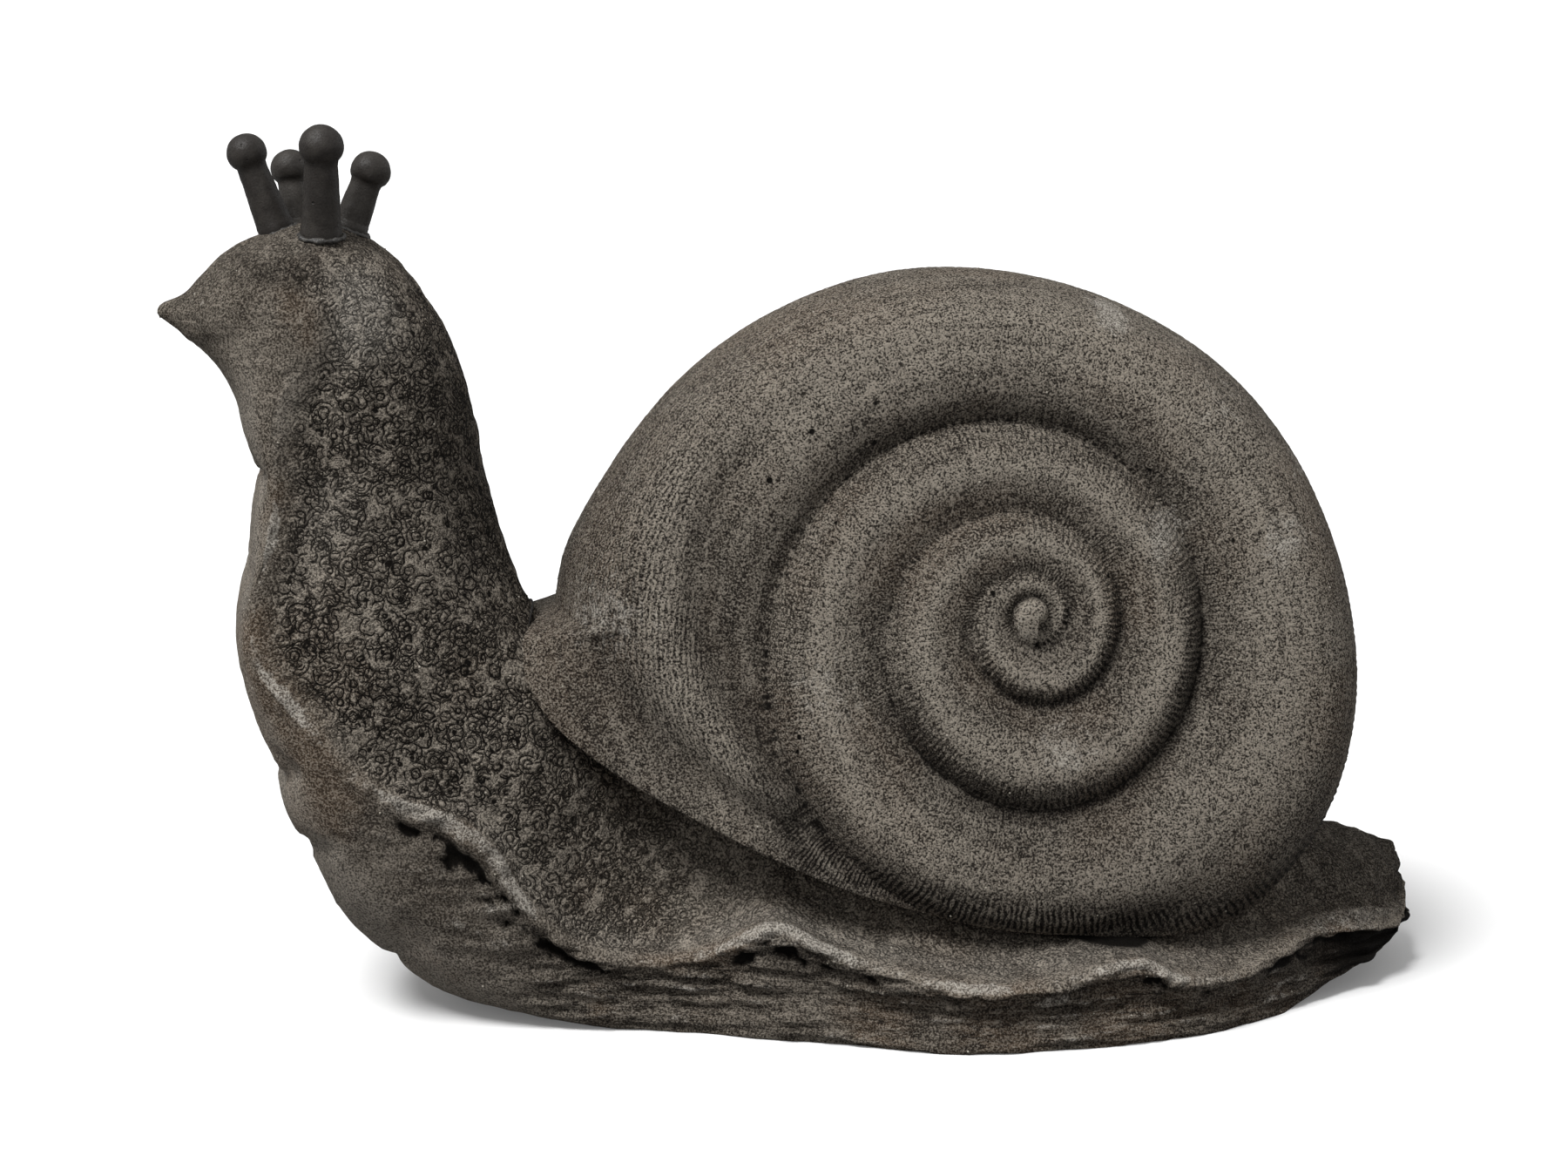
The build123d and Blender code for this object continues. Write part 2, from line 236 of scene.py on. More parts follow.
def makeSandGrain():
    # sand and cement skin: small bumps, light tips and dark pores
    group, given, result = newTree(
        "sandGrain", "ShaderNodeTree", {"place": ("Vector", None), "grain": ("Float", 1.2)},
        {"height": "Float", "tips": "Float", "pores": "Float"})
    scale = calc("DIVIDE", 1.0, given["grain"])
    fine = noise(given["place"], scale, 3.0, 0.72)
    wide = noise(given["place"], times(scale, 0.25), 2.0)
    level = times(wide, 0.12, plus=calc("SUBTRACT", fine, 0.06))
    setInputs(result, {"height": times(wide, 0.5, plus=fine), "tips": fade(level, 0.515, 0.575),
                       "pores": fade(level, 0.495, 0.435)})
    return group


def makeRingStamps():
    # little curls pressed into the skin: crossing layers of broken rings and winding lines
    group, given, result = newTree(
        "ringStamps", "ShaderNodeTree",
        {"place": ("Vector", None), "ring": ("Float", 5.0), "line": ("Float", 0.35),
         "share": ("Float", 1.0)},
        {"groove": "Float", "height": "Float", "pads": "Float"})
    place, share = given["place"], given["share"]
    scale = calc("DIVIDE", 1.0, given["ring"])
    thin = times(given["line"], scale)
    bent = noise(place, times(scale, 1.7), 2.0)
    lines, valleys = [], []
    # each layer's shift, density, ring radius and the level above which its rings are there
    for shift, density, radius, level in (
            ((0, 0, 0), 1.0, 0.25, 0.44), ((7.3, 2.1, 5.7), 1.2, 0.30, 0.47),
            ((3.1, 9.4, 1.9), 0.85, 0.24, 0.46), ((5.9, 4.4, 8.3), 1.45, 0.28, 0.5)):
        moved = vectorCalc("ADD", place, shift)
        cells = addNode(group, "ShaderNodeTexVoronoi",
                        {"Vector": moved, "Randomness": 0.9, "Scale": times(scale, density)})
        reach = times(bent, 0.3, plus=calc("SUBTRACT", cells.outputs["Distance"], 0.15))
        # two rings about each cell's middle
        rings = [calc("ABSOLUTE", calc("SUBTRACT", reach, radius * wide)) for wide in (1, 2.05)]
        nearest = calc("MINIMUM", *rings)
        present = fade(noise(moved, times(scale, 1.1), 0.0), level, level + 0.06)
        lines.append(times(fade(nearest, thin, times(thin, 0.3)), present))
        valleys.append(times(fade(nearest, 0.17, 0.0), present))
    winding = noise(place, times(scale, 2.0), 1.0, distortion=0.6)
    worm = fade(calc("ABSOLUTE", calc("SUBTRACT", winding, 0.52)), 0.035, 0.01)
    line, valley = highest(lines + [times(worm, 0.6)]), highest(valleys)
    depth = times(times(line, 0.5, plus=valley), share)
    setInputs(result, {"groove": times(line, share), "pads": times(fade(valley, 0.45, 0.1), share),
                       "height": times(depth, -1.0)})
    return group


def makeAirHoles():
    # a few round air holes left by the casting
    group, given, result = newTree(
        "airHoles", "ShaderNodeTree",
        {"place": ("Vector", None), "spacing": ("Float", 14.0), "radius": ("Float", 1.0)},
        {"hole": "Float", "height": "Float"})
    cells = addNode(group, "ShaderNodeTexVoronoi", {"Vector": given["place"], "Randomness": 1.0,
                                                    "Scale": calc("DIVIDE", 1.0, given["spacing"])})
    pick = addNode(group, "ShaderNodeSeparateColor", {"Color": cells.outputs["Color"]}).outputs
    reach = times(cells.outputs["Distance"], given["spacing"])
    size = times(given["radius"], times(pick[1], 0.9, plus=0.35))
    hole = times(fade(calc("SUBTRACT", size, reach), -0.1, 0.35), calc("GREATER_THAN", pick[0], 0.35))
    setInputs(result, {"hole": hole, "height": times(hole, -1.0)})
    return group


def makeDryBrush():
    # pale paint dragged over the high places: it catches on tips and skips pores
    group, given, result = newTree(
        "dryBrush", "ShaderNodeTree",
        {"place": ("Vector", None), "base": ("Color", (0.1, 0.1, 0.1, 1)),
         "brush": ("Color", (0.3, 0.29, 0.27, 1)), "high": ("Float", 0.0), "tips": ("Float", 0.0),
         "pores": ("Float", 0.0)},
        {"painted": "Color"})
    streak = noise(given["place"], 0.3, 4.0, 0.7)
    level = calc("ADD", given["high"], times(streak, 1.6, plus=-0.8))
    amount = times(fade(level, 0.25, 0.75), times(given["tips"], 0.55, plus=0.5))
    amount = times(amount, times(given["pores"], -0.75, plus=1.0), clamp=True)
    amount = times(amount, fade(given["high"], 0.0, 0.15))
    setInputs(result, {"painted": blend(amount, given["base"], given["brush"])})
    return group


sandGrain, ringStamps, airHoles, dryBrush = makeSandGrain(), makeRingStamps(), makeAirHoles(), makeDryBrush()
print("stage: shader groups made")


# materials

def startMaterial(name):
    # the material, its shader and the place on the object in millimetres
    made = bpy.data.materials.new(name)
    made.use_nodes = True
    spot = addNode(made.node_tree, "ShaderNodeTexCoord").outputs["Object"]
    return made, made.node_tree.nodes["Principled BSDF"], vectorCalc("MULTIPLY", spot, (1000, 1000, 1000))


def readValues(tree, *names):
    return [addNode(tree, "ShaderNodeAttribute", attribute_name=name).outputs["Fac"] for name in names]


def coats(base, look, layers):
    # colours of the look laid over the base one after another, each by a mask and an amount
    for mask, amount, name in layers:
        base = blend(times(mask, amount), base, look[name])
    return base


def brushOver(base, look, place, grain, high):
    inputs = {"place": place, "high": high, "tips": grain["tips"], "pores": grain["pores"]}
    return useGroup(dryBrush, base=base, brush=(*look["brush"], 1), **inputs)["painted"]


def finishStone(shader, base, roughness, specular, height, depth):
    bump = {"Height": height, "Distance": depth * mm, "Strength": 1.0}
    normal = addNode(shader.id_data, "ShaderNodeBump", bump).outputs[0]
    setInputs(shader, {"Base Color": base, "Roughness": roughness, "Specular IOR Level": specular,
                       "Normal": normal})


skinLook = {
    "black": (0.004, 0.003, 0.002), "dark": (0.014, 0.011, 0.009), "mid": (0.122, 0.102, 0.081),
    "light": (0.420, 0.371, 0.308), "warm": (0.158, 0.115, 0.080), "brush": (0.56, 0.52, 0.46),
    "speck": (0.42, 0.36, 0.28), "ringSize": 5.8, "ringLine": 0.25, "grain": 0.64, "bumpDepth": 1.1,
    "cloudScale": 0.045, "tintScale": 0.028, "layerScale": (0.13, 0.13, 0.9), "specular": 0.1,
    "holeSpacing": 26.0, "holeRadius": 0.9, "speckSpacing": 5.5, "speckRadius": 0.34,
}


def makeSkin(look):
    made, shader, place = startMaterial("skinStone")
    hollow, crest, paintedLight, wall, warmth, ringShare = readValues(
        made.node_tree, "hollow", "crest", "paintedLight", "wall", "warmth", "ringShare")
    grain = useGroup(sandGrain, place=place, grain=look["grain"])
    rings = useGroup(ringStamps, place=place, ring=look["ringSize"], line=look["ringLine"], share=ringShare)
    holes = useGroup(airHoles, place=place, spacing=look["holeSpacing"], radius=look["holeRadius"])
    specks = useGroup(airHoles, place=place, spacing=look["speckSpacing"], radius=look["speckRadius"])
    cloud = noise(place, look["cloudScale"], 5.0, 0.62)
    tint = noise(place, look["tintScale"], 3.0)
    # the wall below the frill is built up of thin ragged layers
    layers = noise(vectorCalc("MULTIPLY", place, look["layerScale"]), 1.0, 5.0, 0.68, 0.5)
    flakes, cracks = times(fade(layers, 0.53, 0.62), wall), times(fade(layers, 0.47, 0.40), wall)
    # among the coats, pale patches of painted light and painted shade in the hollows, with fewer light tips
    # in the shade
    base = coats(look["mid"], look, (
        (fade(cloud, 0.38, 0.66), 0.5, "light"), (fade(tint, 0.48, 0.62), warmth, "warm"),
        (paintedLight, 0.75, "brush"), (flakes, 0.65, "light"), (cracks, 0.8, "dark"),
        (rings["pads"], 0.55, "light"), (hollow, 0.8, "dark"), (grain["pores"], 0.75, "dark"),
        (grain["tips"], times(hollow, -0.4, plus=0.6), "light"), (specks["hole"], 0.7, "speck"),
        (rings["groove"], 1.0, "black")))
    # pale dry brush over the crests, partly painted highlight
    base = brushOver(base, look, place, grain, crest)
    # the deepest painted shade goes black, and the air holes
    base = coats(base, look, ((fade(hollow, 0.72, 0.98), 1.0, "black"), (holes["hole"], 1.0, "black")))
    height = times(rings["height"], 0.8, plus=grain["height"])
    height = times(layers, times(wall, 2.0), plus=height)
    height = times(holes["height"], 2.0, plus=height)
    roughness = times(grain["tips"], -0.16, plus=0.88)
    finishStone(shader, base, roughness, look["specular"], height, look["bumpDepth"])
    return made


shellLook = {
    "black": (0.004, 0.003, 0.002), "dark": (0.014, 0.011, 0.009), "mid": (0.110, 0.093, 0.075),
    "light": (0.400, 0.355, 0.294), "warm": (0.148, 0.110, 0.080), "brush": (0.54, 0.50, 0.44),
    "speck": (0.50, 0.43, 0.34), "grain": 0.64, "bumpDepth": 1.2, "ribPitch": 2.1, "striaPitch": 1.8,
    "cloudScale": 0.035, "tintScale": 0.022, "wanderScale": 0.22, "breakScale": 0.32, "specular": 0.1,
    "holeSpacing": 13.0, "holeRadius": 0.95, "speckSpacing": 4.6, "speckRadius": 0.36,
    "streaksAlong": 22.0, "streaksAcross": 220.0,
}


def makeShellStone(look):
    made, shader, place = startMaterial("shellStone")
    tree = made.node_tree
    hollow, crest, paintedLight, ribShare, striaShare = readValues(
        tree, "hollow", "crest", "paintedLight", "ribShare", "striaShare")
    grain = useGroup(sandGrain, place=place, grain=look["grain"])
    holes = useGroup(airHoles, place=place, spacing=look["holeSpacing"], radius=look["holeRadius"])
    specks = useGroup(airHoles, place=place, spacing=look["speckSpacing"], radius=look["speckRadius"])
    path = addNode(tree, "ShaderNodeUVMap", uv_map="whorlMap").outputs[0]
    path = addNode(tree, "ShaderNodeSeparateXYZ", {0: path}).outputs
    cloud = noise(place, look["cloudScale"], 5.0, 0.6)
    tint = noise(place, look["tintScale"], 4.0)
    wander = noise(place, look["wanderScale"], 3.0)
    broken = noise(place, look["breakScale"], 2.0)
    # ribs run across the whorls, fine lines along the lip; both wander and break off
    waves = []
    for axis, pitch in ((0, look["ribPitch"]), (1, look["striaPitch"])):
        phase = times(wander, 9.0, plus=times(path[axis], 2 * math.pi / (pitch * mm)))
        waves.append(fade(calc("SINE", phase), -0.2, 0.7))
    present = fade(broken, 0.36, 0.52, 0.35, 1.0)
    ribs = times(times(waves[0], present), ribShare)
    lines = times(times(waves[1], present), striaShare)
    # the painted shade in the grooves is a little ragged, and paler between the ribs
    ragged = times(hollow, fade(broken, 0.3, 0.6, 0.85, 1.1))
    between = times(calc("SUBTRACT", 1.0, waves[0]), ribShare)
    ragged = times(ragged, times(between, -0.5, plus=1.0))
    # brushed along the whorls: streaks ten times as long as wide
    brushed = addNode(tree, "ShaderNodeCombineXYZ", {0: times(path[0], look["streaksAlong"]),
                                                     1: times(path[1], look["streaksAcross"])})
    streaks = noise(brushed.outputs[0], 1.0, 3.0, 0.6)
    # among the coats, the crests pale with dry brush and painted highlight, and the painted shade of the
    # grooves
    base = coats(look["mid"], look, (
        (fade(cloud, 0.38, 0.68), 0.5, "light"), (fade(tint, 0.46, 0.62), 0.75, "warm"),
        (crest, 0.88, "light"), (ragged, 0.95, "dark"), (ribs, 0.8, "dark"), (lines, 0.85, "dark"),
        (fade(streaks, 0.52, 0.68), 0.4, "light"), (fade(streaks, 0.47, 0.34), 0.5, "dark"),
        (grain["pores"], 0.95, "dark"), (grain["tips"], times(hollow, -0.5, plus=0.75), "light"),
        (specks["hole"], 0.6, "speck")))
    # pale dry brush over the spots of painted light
    base = brushOver(base, look, place, grain, paintedLight)
    # the deepest painted shade goes black, and the air holes
    base = coats(base, look, ((fade(ragged, 0.8, 1.1), 0.85, "black"), (holes["hole"], 1.0, "black")))
    height = times(lines, -0.6, plus=times(ribs, -0.8, plus=grain["height"]))
    height = times(holes["height"], 2.2, plus=height)
    roughness = times(grain["tips"], -0.16, plus=0.86)
    finishStone(shader, base, roughness, look["specular"], height, look["bumpDepth"])
    return made


feelerLook = {"mid": (0.022, 0.0185, 0.016), "worn": (0.056, 0.050, 0.043), "pit": (0.004, 0.003, 0.002),
              "grain": 0.6, "bumpDepth": 0.16, "roughness": 0.44, "specular": 0.25, "cloudScale": 0.14,
              "holeSpacing": 4.0, "holeRadius": 0.42}


def makeFeelerStone(look):
    made, shader, place = startMaterial("feelerStone")
    worn = readValues(made.node_tree, "worn")[0]
    grain = useGroup(sandGrain, place=place, grain=look["grain"])
    holes = useGroup(airHoles, place=place, spacing=look["holeSpacing"], radius=look["holeRadius"])
    cloud = noise(place, look["cloudScale"], 3.0, 0.6)
    base = coats(look["mid"], look, (
        (fade(cloud, 0.45, 0.7), 0.45, "worn"), (worn, 1.0, "worn"), (grain["pores"], 0.25, "pit"),
        (holes["hole"], 1.0, "pit")))
    height = times(holes["height"], 3.0, plus=grain["height"])
    roughness = times(grain["pores"], 0.2, plus=look["roughness"])
    finishStone(shader, base, roughness, look["specular"], height, look["bumpDepth"])
    return made


def makePlain(name, dark, light, roughness, metallic, grainSize, depth):
    made, shader, place = startMaterial(name)
    grain = useGroup(sandGrain, place=place, grain=grainSize)
    rough = times(grain["pores"], 0.15, plus=roughness)
    finishStone(shader, blend(grain["tips"], dark, light), rough, 0.5, grain["height"], depth)
    setInputs(shader, {"Metallic": metallic})
    return made


skinStone = makeSkin(skinLook)
shellStone = makeShellStone(shellLook)
feelerStone = makeFeelerStone(feelerLook)
glueStone = makePlain("darkGlue", (0.018, 0.016, 0.014), (0.060, 0.055, 0.048), 0.42, 0.0, 0.8, 0.3)
mortarStone = makePlain("mortar", (0.010, 0.009, 0.008), (0.030, 0.027, 0.024), 0.95, 0.0, 1.3, 0.9)
steelBar = makePlain("steelBar", (0.22, 0.22, 0.23), (0.42, 0.42, 0.43), 0.38, 1.0, 1.0, 0.05)
quartz = makePlain("quartzGrain", (0.30, 0.27, 0.22), (0.62, 0.58, 0.50), 0.5, 0.0, 0.3, 0.05)
print("stage: materials made")


# body: hoops fanned along the foot, up the neck and over the head

bodyForm = {
    "halfLength": 200.5, "crownHeight": 246.4, "halfWidth": 86.5, "frillHeight": 22.0,
    "spanSteps": 10, "aroundSteps": (5, 9, 16, 19, 18, 14, 12, 8),
    "lumpSize": 7.0, "lumpHeight": 0.4, "fineSize": 2.6, "fineHeight": 0.12, "flakeSize": (15, 15, 1.7),
    "flakeHeight": 2.0, "raggedSize": (6, 6, 3), "brokenSize": 3.6, "undercutDepth": 3.2,
    "lobeRise": 4.2, "tuckShare": 0.22,
    # creases across the breast: hoop number, width and depth
    "creases": ((31.7, 0.22, 3.2), (29.6, 0.2, 1.0), (26.0, 0.24, 2.6), (24.4, 0.2, 1.8), (22.4, 0.22, 1.8)),
    # crests of the frill, pale with dry brush and painted highlight, and its deep undercuts, dark with
    # painted shade: hoop number and width
    "crests": ((30.4, 0.5), (27.2, 0.8), (23.4, 1.1), (21.4, 0.6), (15.9, 1.3), (9.8, 1.3), (13.0, 0.5)),
    "undercuts": ((23.0, 1.0), (21.2, 0.8), (19.6, 0.8), (15.6, 1.1), (9.8, 0.8), (5.2, 1.3)),
    # pale patches of painted light and dark patches of painted shade: hoop number and width, place round the
    # hoop and width, amount
    "paintedLightSpots": ((35.4, 1.1, 5.75, 0.85, 1.4), (30.3, 1.6, 5.5, 0.6, 0.4), (3.9, 1.3, 4.8, 0.3, 0.5),
             (33.4, 1.0, 4.2, 0.5, 0.35), (22, 2.5, 4.8, 0.5, 0.3)),
    "paintedShadeSpots": ((37.5, 0.9, 5.0, 0.7, 0.4), (31.8, 1.6, 5.0, 0.5, 0.55)),
}
# half a hoop from the sole to the back for head, neck, belly and foot: share of the half width,
# of the frill's height and of the height above it
hoopShapes = np.array((
    ((0, 0, 0), (0.5, 0.14, 0), (0.8, 0.4, 0), (0.95, 0.7, 0), (1, 1, 0),
     (0.95, 1, 0.32), (0.8, 1, 0.64), (0.5, 1, 0.88), (0, 1, 1)),
    ((0, 0, 0), (0.55, 0.1, 0), (0.85, 0.4, 0), (0.97, 0.75, 0), (1, 1, 0),
     (0.98, 1, 0.15), (1.07, 1, 0.42), (0.8, 1, 0.8), (0, 1, 1)),
    ((0, 0, 0), (0.45, 0.06, 0), (0.8, 0.3, 0), (0.95, 0.64, 0), (1, 1, 0),
     (0.93, 1, 0.1), (0.9, 1, 0.32), (0.66, 1, 0.78), (0, 1, 1)),
    ((0, 0, 0), (0.55, 0, 0), (0.96, 0.06, 0), (0.94, 0.55, 0), (1, 1, 0),
     (0.86, 1, 0.07), (0.71, 1, 0.2), (0.5, 1, 0.72), (0, 1, 1))), float)
# tail to snout: sole X and Z, back X and Z, half width, frill height, shape from head 0 to foot 3
hoopShares = (
    (1.000, 0.088, 1.000, 0.110, 0.06, 0.08, 3.0), (0.990, 0.078, 0.990, 0.134, 0.15, 0.10, 3.0),
    (0.967, 0.066, 0.967, 0.153, 0.26, 0.13, 3.0), (0.928, 0.051, 0.928, 0.169, 0.39, 0.27, 3.0),
    (0.866, 0.034, 0.866, 0.181, 0.50, 0.55, 3.0), (0.790, 0.014, 0.790, 0.201, 0.59, 0.88, 3.0),
    (0.708, -0.008, 0.708, 0.229, 0.70, 1.08, 3.0), (0.629, -0.008, 0.629, 0.264, 0.82, 0.90, 3.0),
    (0.559, -0.008, 0.559, 0.284, 0.91, 0.88, 3.0), (0.495, -0.008, 0.495, 0.296, 0.95, 0.98, 3.0),
    (0.441, -0.008, 0.441, 0.304, 0.98, 1.22, 3.0), (0.371, -0.008, 0.371, 0.308, 0.99, 1.20, 3.0),
    (0.282, -0.008, 0.282, 0.312, 1.00, 1.06, 3.0), (0.168, -0.008, 0.168, 0.316, 0.98, 1.02, 3.0),
    (0.069, -0.008, 0.069, 0.316, 0.90, 1.18, 3.0), (-0.025, -0.008, -0.025, 0.316, 0.79, 1.42, 3.0),
    (-0.109, -0.008, -0.109, 0.320, 0.72, 1.72, 3.0), (-0.198, -0.008, -0.178, 0.325, 0.605, 1.32, 3.0),
    (-0.287, -0.008, -0.228, 0.341, 0.54, 1.12, 2.9), (-0.376, -0.007, -0.277, 0.361, 0.51, 1.20, 2.7),
    (-0.470, -0.001, -0.322, 0.390, 0.505, 1.45, 2.4), (-0.564, 0.014, -0.361, 0.426, 0.51, 1.95, 2.1),
    (-0.650, 0.053, -0.396, 0.467, 0.515, 2.36, 2.0), (-0.730, 0.116, -0.426, 0.499, 0.515, 2.20, 2.0),
    (-0.784, 0.192, -0.446, 0.521, 0.51, 1.64, 1.9), (-0.823, 0.261, -0.458, 0.540, 0.495, 1.23, 1.75),
    (-0.847, 0.329, -0.468, 0.560, 0.475, 0.86, 1.5), (-0.875, 0.398, -0.478, 0.584, 0.445, 0.55, 1.25),
    (-0.898, 0.467, -0.489, 0.615, 0.415, 0.27, 1.1), (-0.894, 0.532, -0.500, 0.647, 0.385, 0.18, 1.0),
    (-0.874, 0.601, -0.511, 0.682, 0.362, 0.18, 1.0), (-0.861, 0.662, -0.520, 0.720, 0.347, 0.20, 1.0),
    (-0.864, 0.714, -0.527, 0.759, 0.347, 0.26, 0.95), (-0.881, 0.767, -0.540, 0.804, 0.353, 0.45, 0.85),
    (-0.899, 0.804, -0.559, 0.852, 0.364, 0.80, 0.6), (-0.921, 0.832, -0.594, 0.905, 0.370, 1.20, 0.35),
    (-0.938, 0.848, -0.646, 0.960, 0.364, 1.40, 0.1), (-0.946, 0.854, -0.723, 0.998, 0.335, 1.25, 0.0),
    (-0.952, 0.858, -0.812, 0.998, 0.283, 0.95, 0.0), (-0.958, 0.861, -0.881, 0.976, 0.214, 0.70, 0.0),
    (-0.965, 0.866, -0.931, 0.943, 0.150, 0.46, 0.0), (-0.978, 0.876, -0.960, 0.919, 0.098, 0.28, 0.0),
    (-1.000, 0.890, -0.993, 0.907, 0.040, 0.10, 0.0))
# seat of the shell on the body from the notch to the tail, X and Z from the eye in shell radii
seatShares = ((-1.27, 0.4), (-1.29, 0.13), (-1.375, 0.0), (-1.33, -0.17), (-1.18, -0.315), (-0.93, -0.465),
              (-0.58, -0.635), (-0.2, -0.765), (0.2, -0.825), (0.54, -0.835), (0.75, -0.78), (0.92, -0.64),
              (1.1, -0.36))


def seatPath(lift):
    # the seat's line in millimetres, moved up by lift
    eye = np.array([shellForm["eyeX"], shellForm["eyeZ"]])
    shares = np.array(seatShares)
    line = splineThrough(shares * shellForm["radius"] + eye, np.linspace(0, len(shares) - 1, 160))
    slope = np.gradient(line, axis=0)
    side = np.stack([-slope[:, 1], slope[:, 0]], 1)
    return line + side / np.linalg.norm(side, axis=1, keepdims=True) * lift


def aboveSeat(x, z):
    # height over the seat's lower run, for points behind the neck
    line = seatPath(0)[40:]
    return z - np.interp(x, line[:, 0], line[:, 1])


def makeHoop(form, soleX, soleZ, backX, backZ, width, frill, kind):
    sole = np.array([soleX * form["halfLength"], 0, soleZ * form["crownHeight"]])
    back = np.array([backX * form["halfLength"], 0, backZ * form["crownHeight"]])
    low = min(int(kind), 2)
    shape = mix(hoopShapes[low], hoopShapes[low + 1], kind - low)
    depth = np.linalg.norm(back - sole)
    unit = form["frillHeight"]
    height = shape[:, 1] * frill * unit + shape[:, 2] * (depth - frill * unit)
    out = shape[:, :1] * np.array([0, width * form["halfWidth"], 0])
    near = sole + (back - sole) / depth * height[:, None] - out
    return np.concatenate([near, near[-2::-1] * (1, -1, 1)])


def bodyGrid(form):
    # points of the plain body with their hoop number u and their place v from sole 0 to back 8
    turned = np.array([makeHoop(form, *shares) for shares in hoopShares]).transpose(1, 0, 2)
    # round each hoop, with most points at the frill, then from hoop to hoop
    half = np.concatenate([k + np.arange(n) / n for k, n in enumerate(form["aroundSteps"])])
    around = np.concatenate([half, [8], (16 - half[:0:-1])])
    rows = splineThrough(turned, around, turned[-2:-1], turned[1:2]).transpose(1, 0, 2)
    lengthwise = np.arange(0, len(hoopShares) - 1 + 1e-6, 1 / form["spanSteps"])
    u = lengthwise[:, None] + 0 * around
    return splineThrough(rows, lengthwise), u, np.minimum(around, 16 - around)[None, :] + 0 * u


def bodyRelief(form, grid, u, v, part):
    # how far each point moves out, with the undercut, the crests and the flakes for the colours; the
    # undercut is painted with shade and the crests with highlight
    rough, fine = lumps(grid, form["lumpSize"], 3), lumps(grid, form["fineSize"], 9, 2)
    flakes, ragged = lumps(grid / form["flakeSize"], 1.0, 21), lumps(grid / form["raggedSize"], 1.0, 33)
    broken = lumps(grid, form["brokenSize"], 44, 2)
    tail, breast = part["tail"], part["breast"]
    move = form["lumpHeight"] * rough * mix(0.5, 1.0, part["skin"]) + form["fineHeight"] * fine
    move += form["flakeHeight"] * flakes * part["wall"] * mix(0.25, 1, smooth(u, 23, 19))
    move += 1.3 * rough * tail * smooth(v, 5.5, 6.5) + 0.8 * ragged * tail * smooth(v, 5, 6)
    for place, width, depth in form["creases"]:
        move -= depth * bell(u + 0.25 * rough, place, width) * breast
        move += 0.35 * depth * (bell(u, place + 0.9, 0.6) + bell(u, place - 0.9, 0.6)) * breast
    crest = np.clip(sum(bell(u + 0.2 * rough, *spot) for spot in form["crests"]), 0, 1)
    deep = np.clip(sum(bell(u + 0.25 * ragged, *spot) for spot in form["undercuts"]), 0, 1)
    patch = np.clip(deep * (0.7 + 1.1 * broken) + 0.35 * ragged, 0, 1)
    belowHead = smooth(u, 36, 33)
    cut = bell(v + 0.14 * ragged + 0.06 * broken, 3.58, 0.17)
    cut *= mix(0.12 * belowHead, 1, smooth(u, 27, 24) * patch)
    move -= form["undercutDepth"] * cut
    move += (0.5 + 0.9 * ragged + 1.5 * broken) * bell(v, 3.95, 0.3) * mix(0.35 * belowHead, 1, crest)
    move += form["lobeRise"] * bell(u, 3.9, 1.4) * bell(v + 0.2 * rough, 5.0, 0.4)
    # the snout stays nearly smooth
    return move * mix(0.15, 1, smooth(u, 41.6, 39.5)), cut, crest, flakes


def bodyMasks(form, u, v, part, seamShade, cut, crest, flakes):
    wall, tail, edge, foot = part["wall"], part["tail"], part["edge"], part["foot"]
    under = wall * smooth(v, 4.0, 3.5) * foot
    # darkening, mostly painted shade: in the frill's undercut and under the frill, in the seam under the
    # shell, over the tail, on the back of the neck, over the head and in the listed dark spots
    hollow = np.clip(1.3 * cut + 0.3 * under + 0.95 * seamShade, 0, 1)
    hollow += 0.2 * smooth(u, 8, 3) * smooth(v, 5.2, 6.2) + 0.75 * smooth(u, 9, 3) * smooth(v, 4.1, 3.5)
    hollow += 0.15 * smooth(u, 20, 14) * smooth(v, 4.2, 4.6) + 0.34 * smooth(u, 35.8, 37.0)
    hollow += 0.5 * smooth(u, 26, 28) * smooth(u, 36, 33) * smooth(v, 6.2, 7.2)
    hollow += 0.45 * tail * smooth(v, 5.2, 6) + spots(u, v, form["paintedShadeSpots"])
    # pale with dry brush and painted highlight: the frill's crests and edge, flakes under it and a lobe on
    # the tail
    high = crest * bell(v, 4.12, 0.26) + 0.22 * edge + 0.5 * bell(u, 4.6, 1.0) * bell(v, 4.5, 0.5)
    high += 0.5 * under * smooth(flakes, 0.25, 0.8) * foot
    # painted light: pale patches over the foot's top under the shell, on the breast and in the listed spots
    paintedLight = 0.4 * smooth(u, 21, 17) * smooth(u, 6, 9) * bell(v, 4.9, 0.6)
    paintedLight += 0.35 * part["breast"] + spots(u, v, form["paintedLightSpots"])
    rings = mix(0.6, 1, smooth(u, 15, 23)) * mix(1, 0.45, smooth(u + 0.5 * (v - 6), 35.6, 37.6))
    rings *= mix(1, 0.45, smooth(v, 5.0, 4.5) * smooth(u, 24, 27)) * mix(1, 0.7, tail)
    rings *= part["skin"] * (1 - 0.3 * np.clip(paintedLight, 0, 1))
    warmth = mix(0.35, 1, smooth(v, 4.9, 4.2)) + 0.4 * smooth(u, 36, 38)
    values = {"hollow": hollow, "crest": high, "paintedLight": paintedLight, "ringShare": rings, "warmth": warmth,
              "wall": wall * smooth(u, 23, 19)}
    return {key: np.clip(value, 0, 1).ravel() for key, value in values.items()}


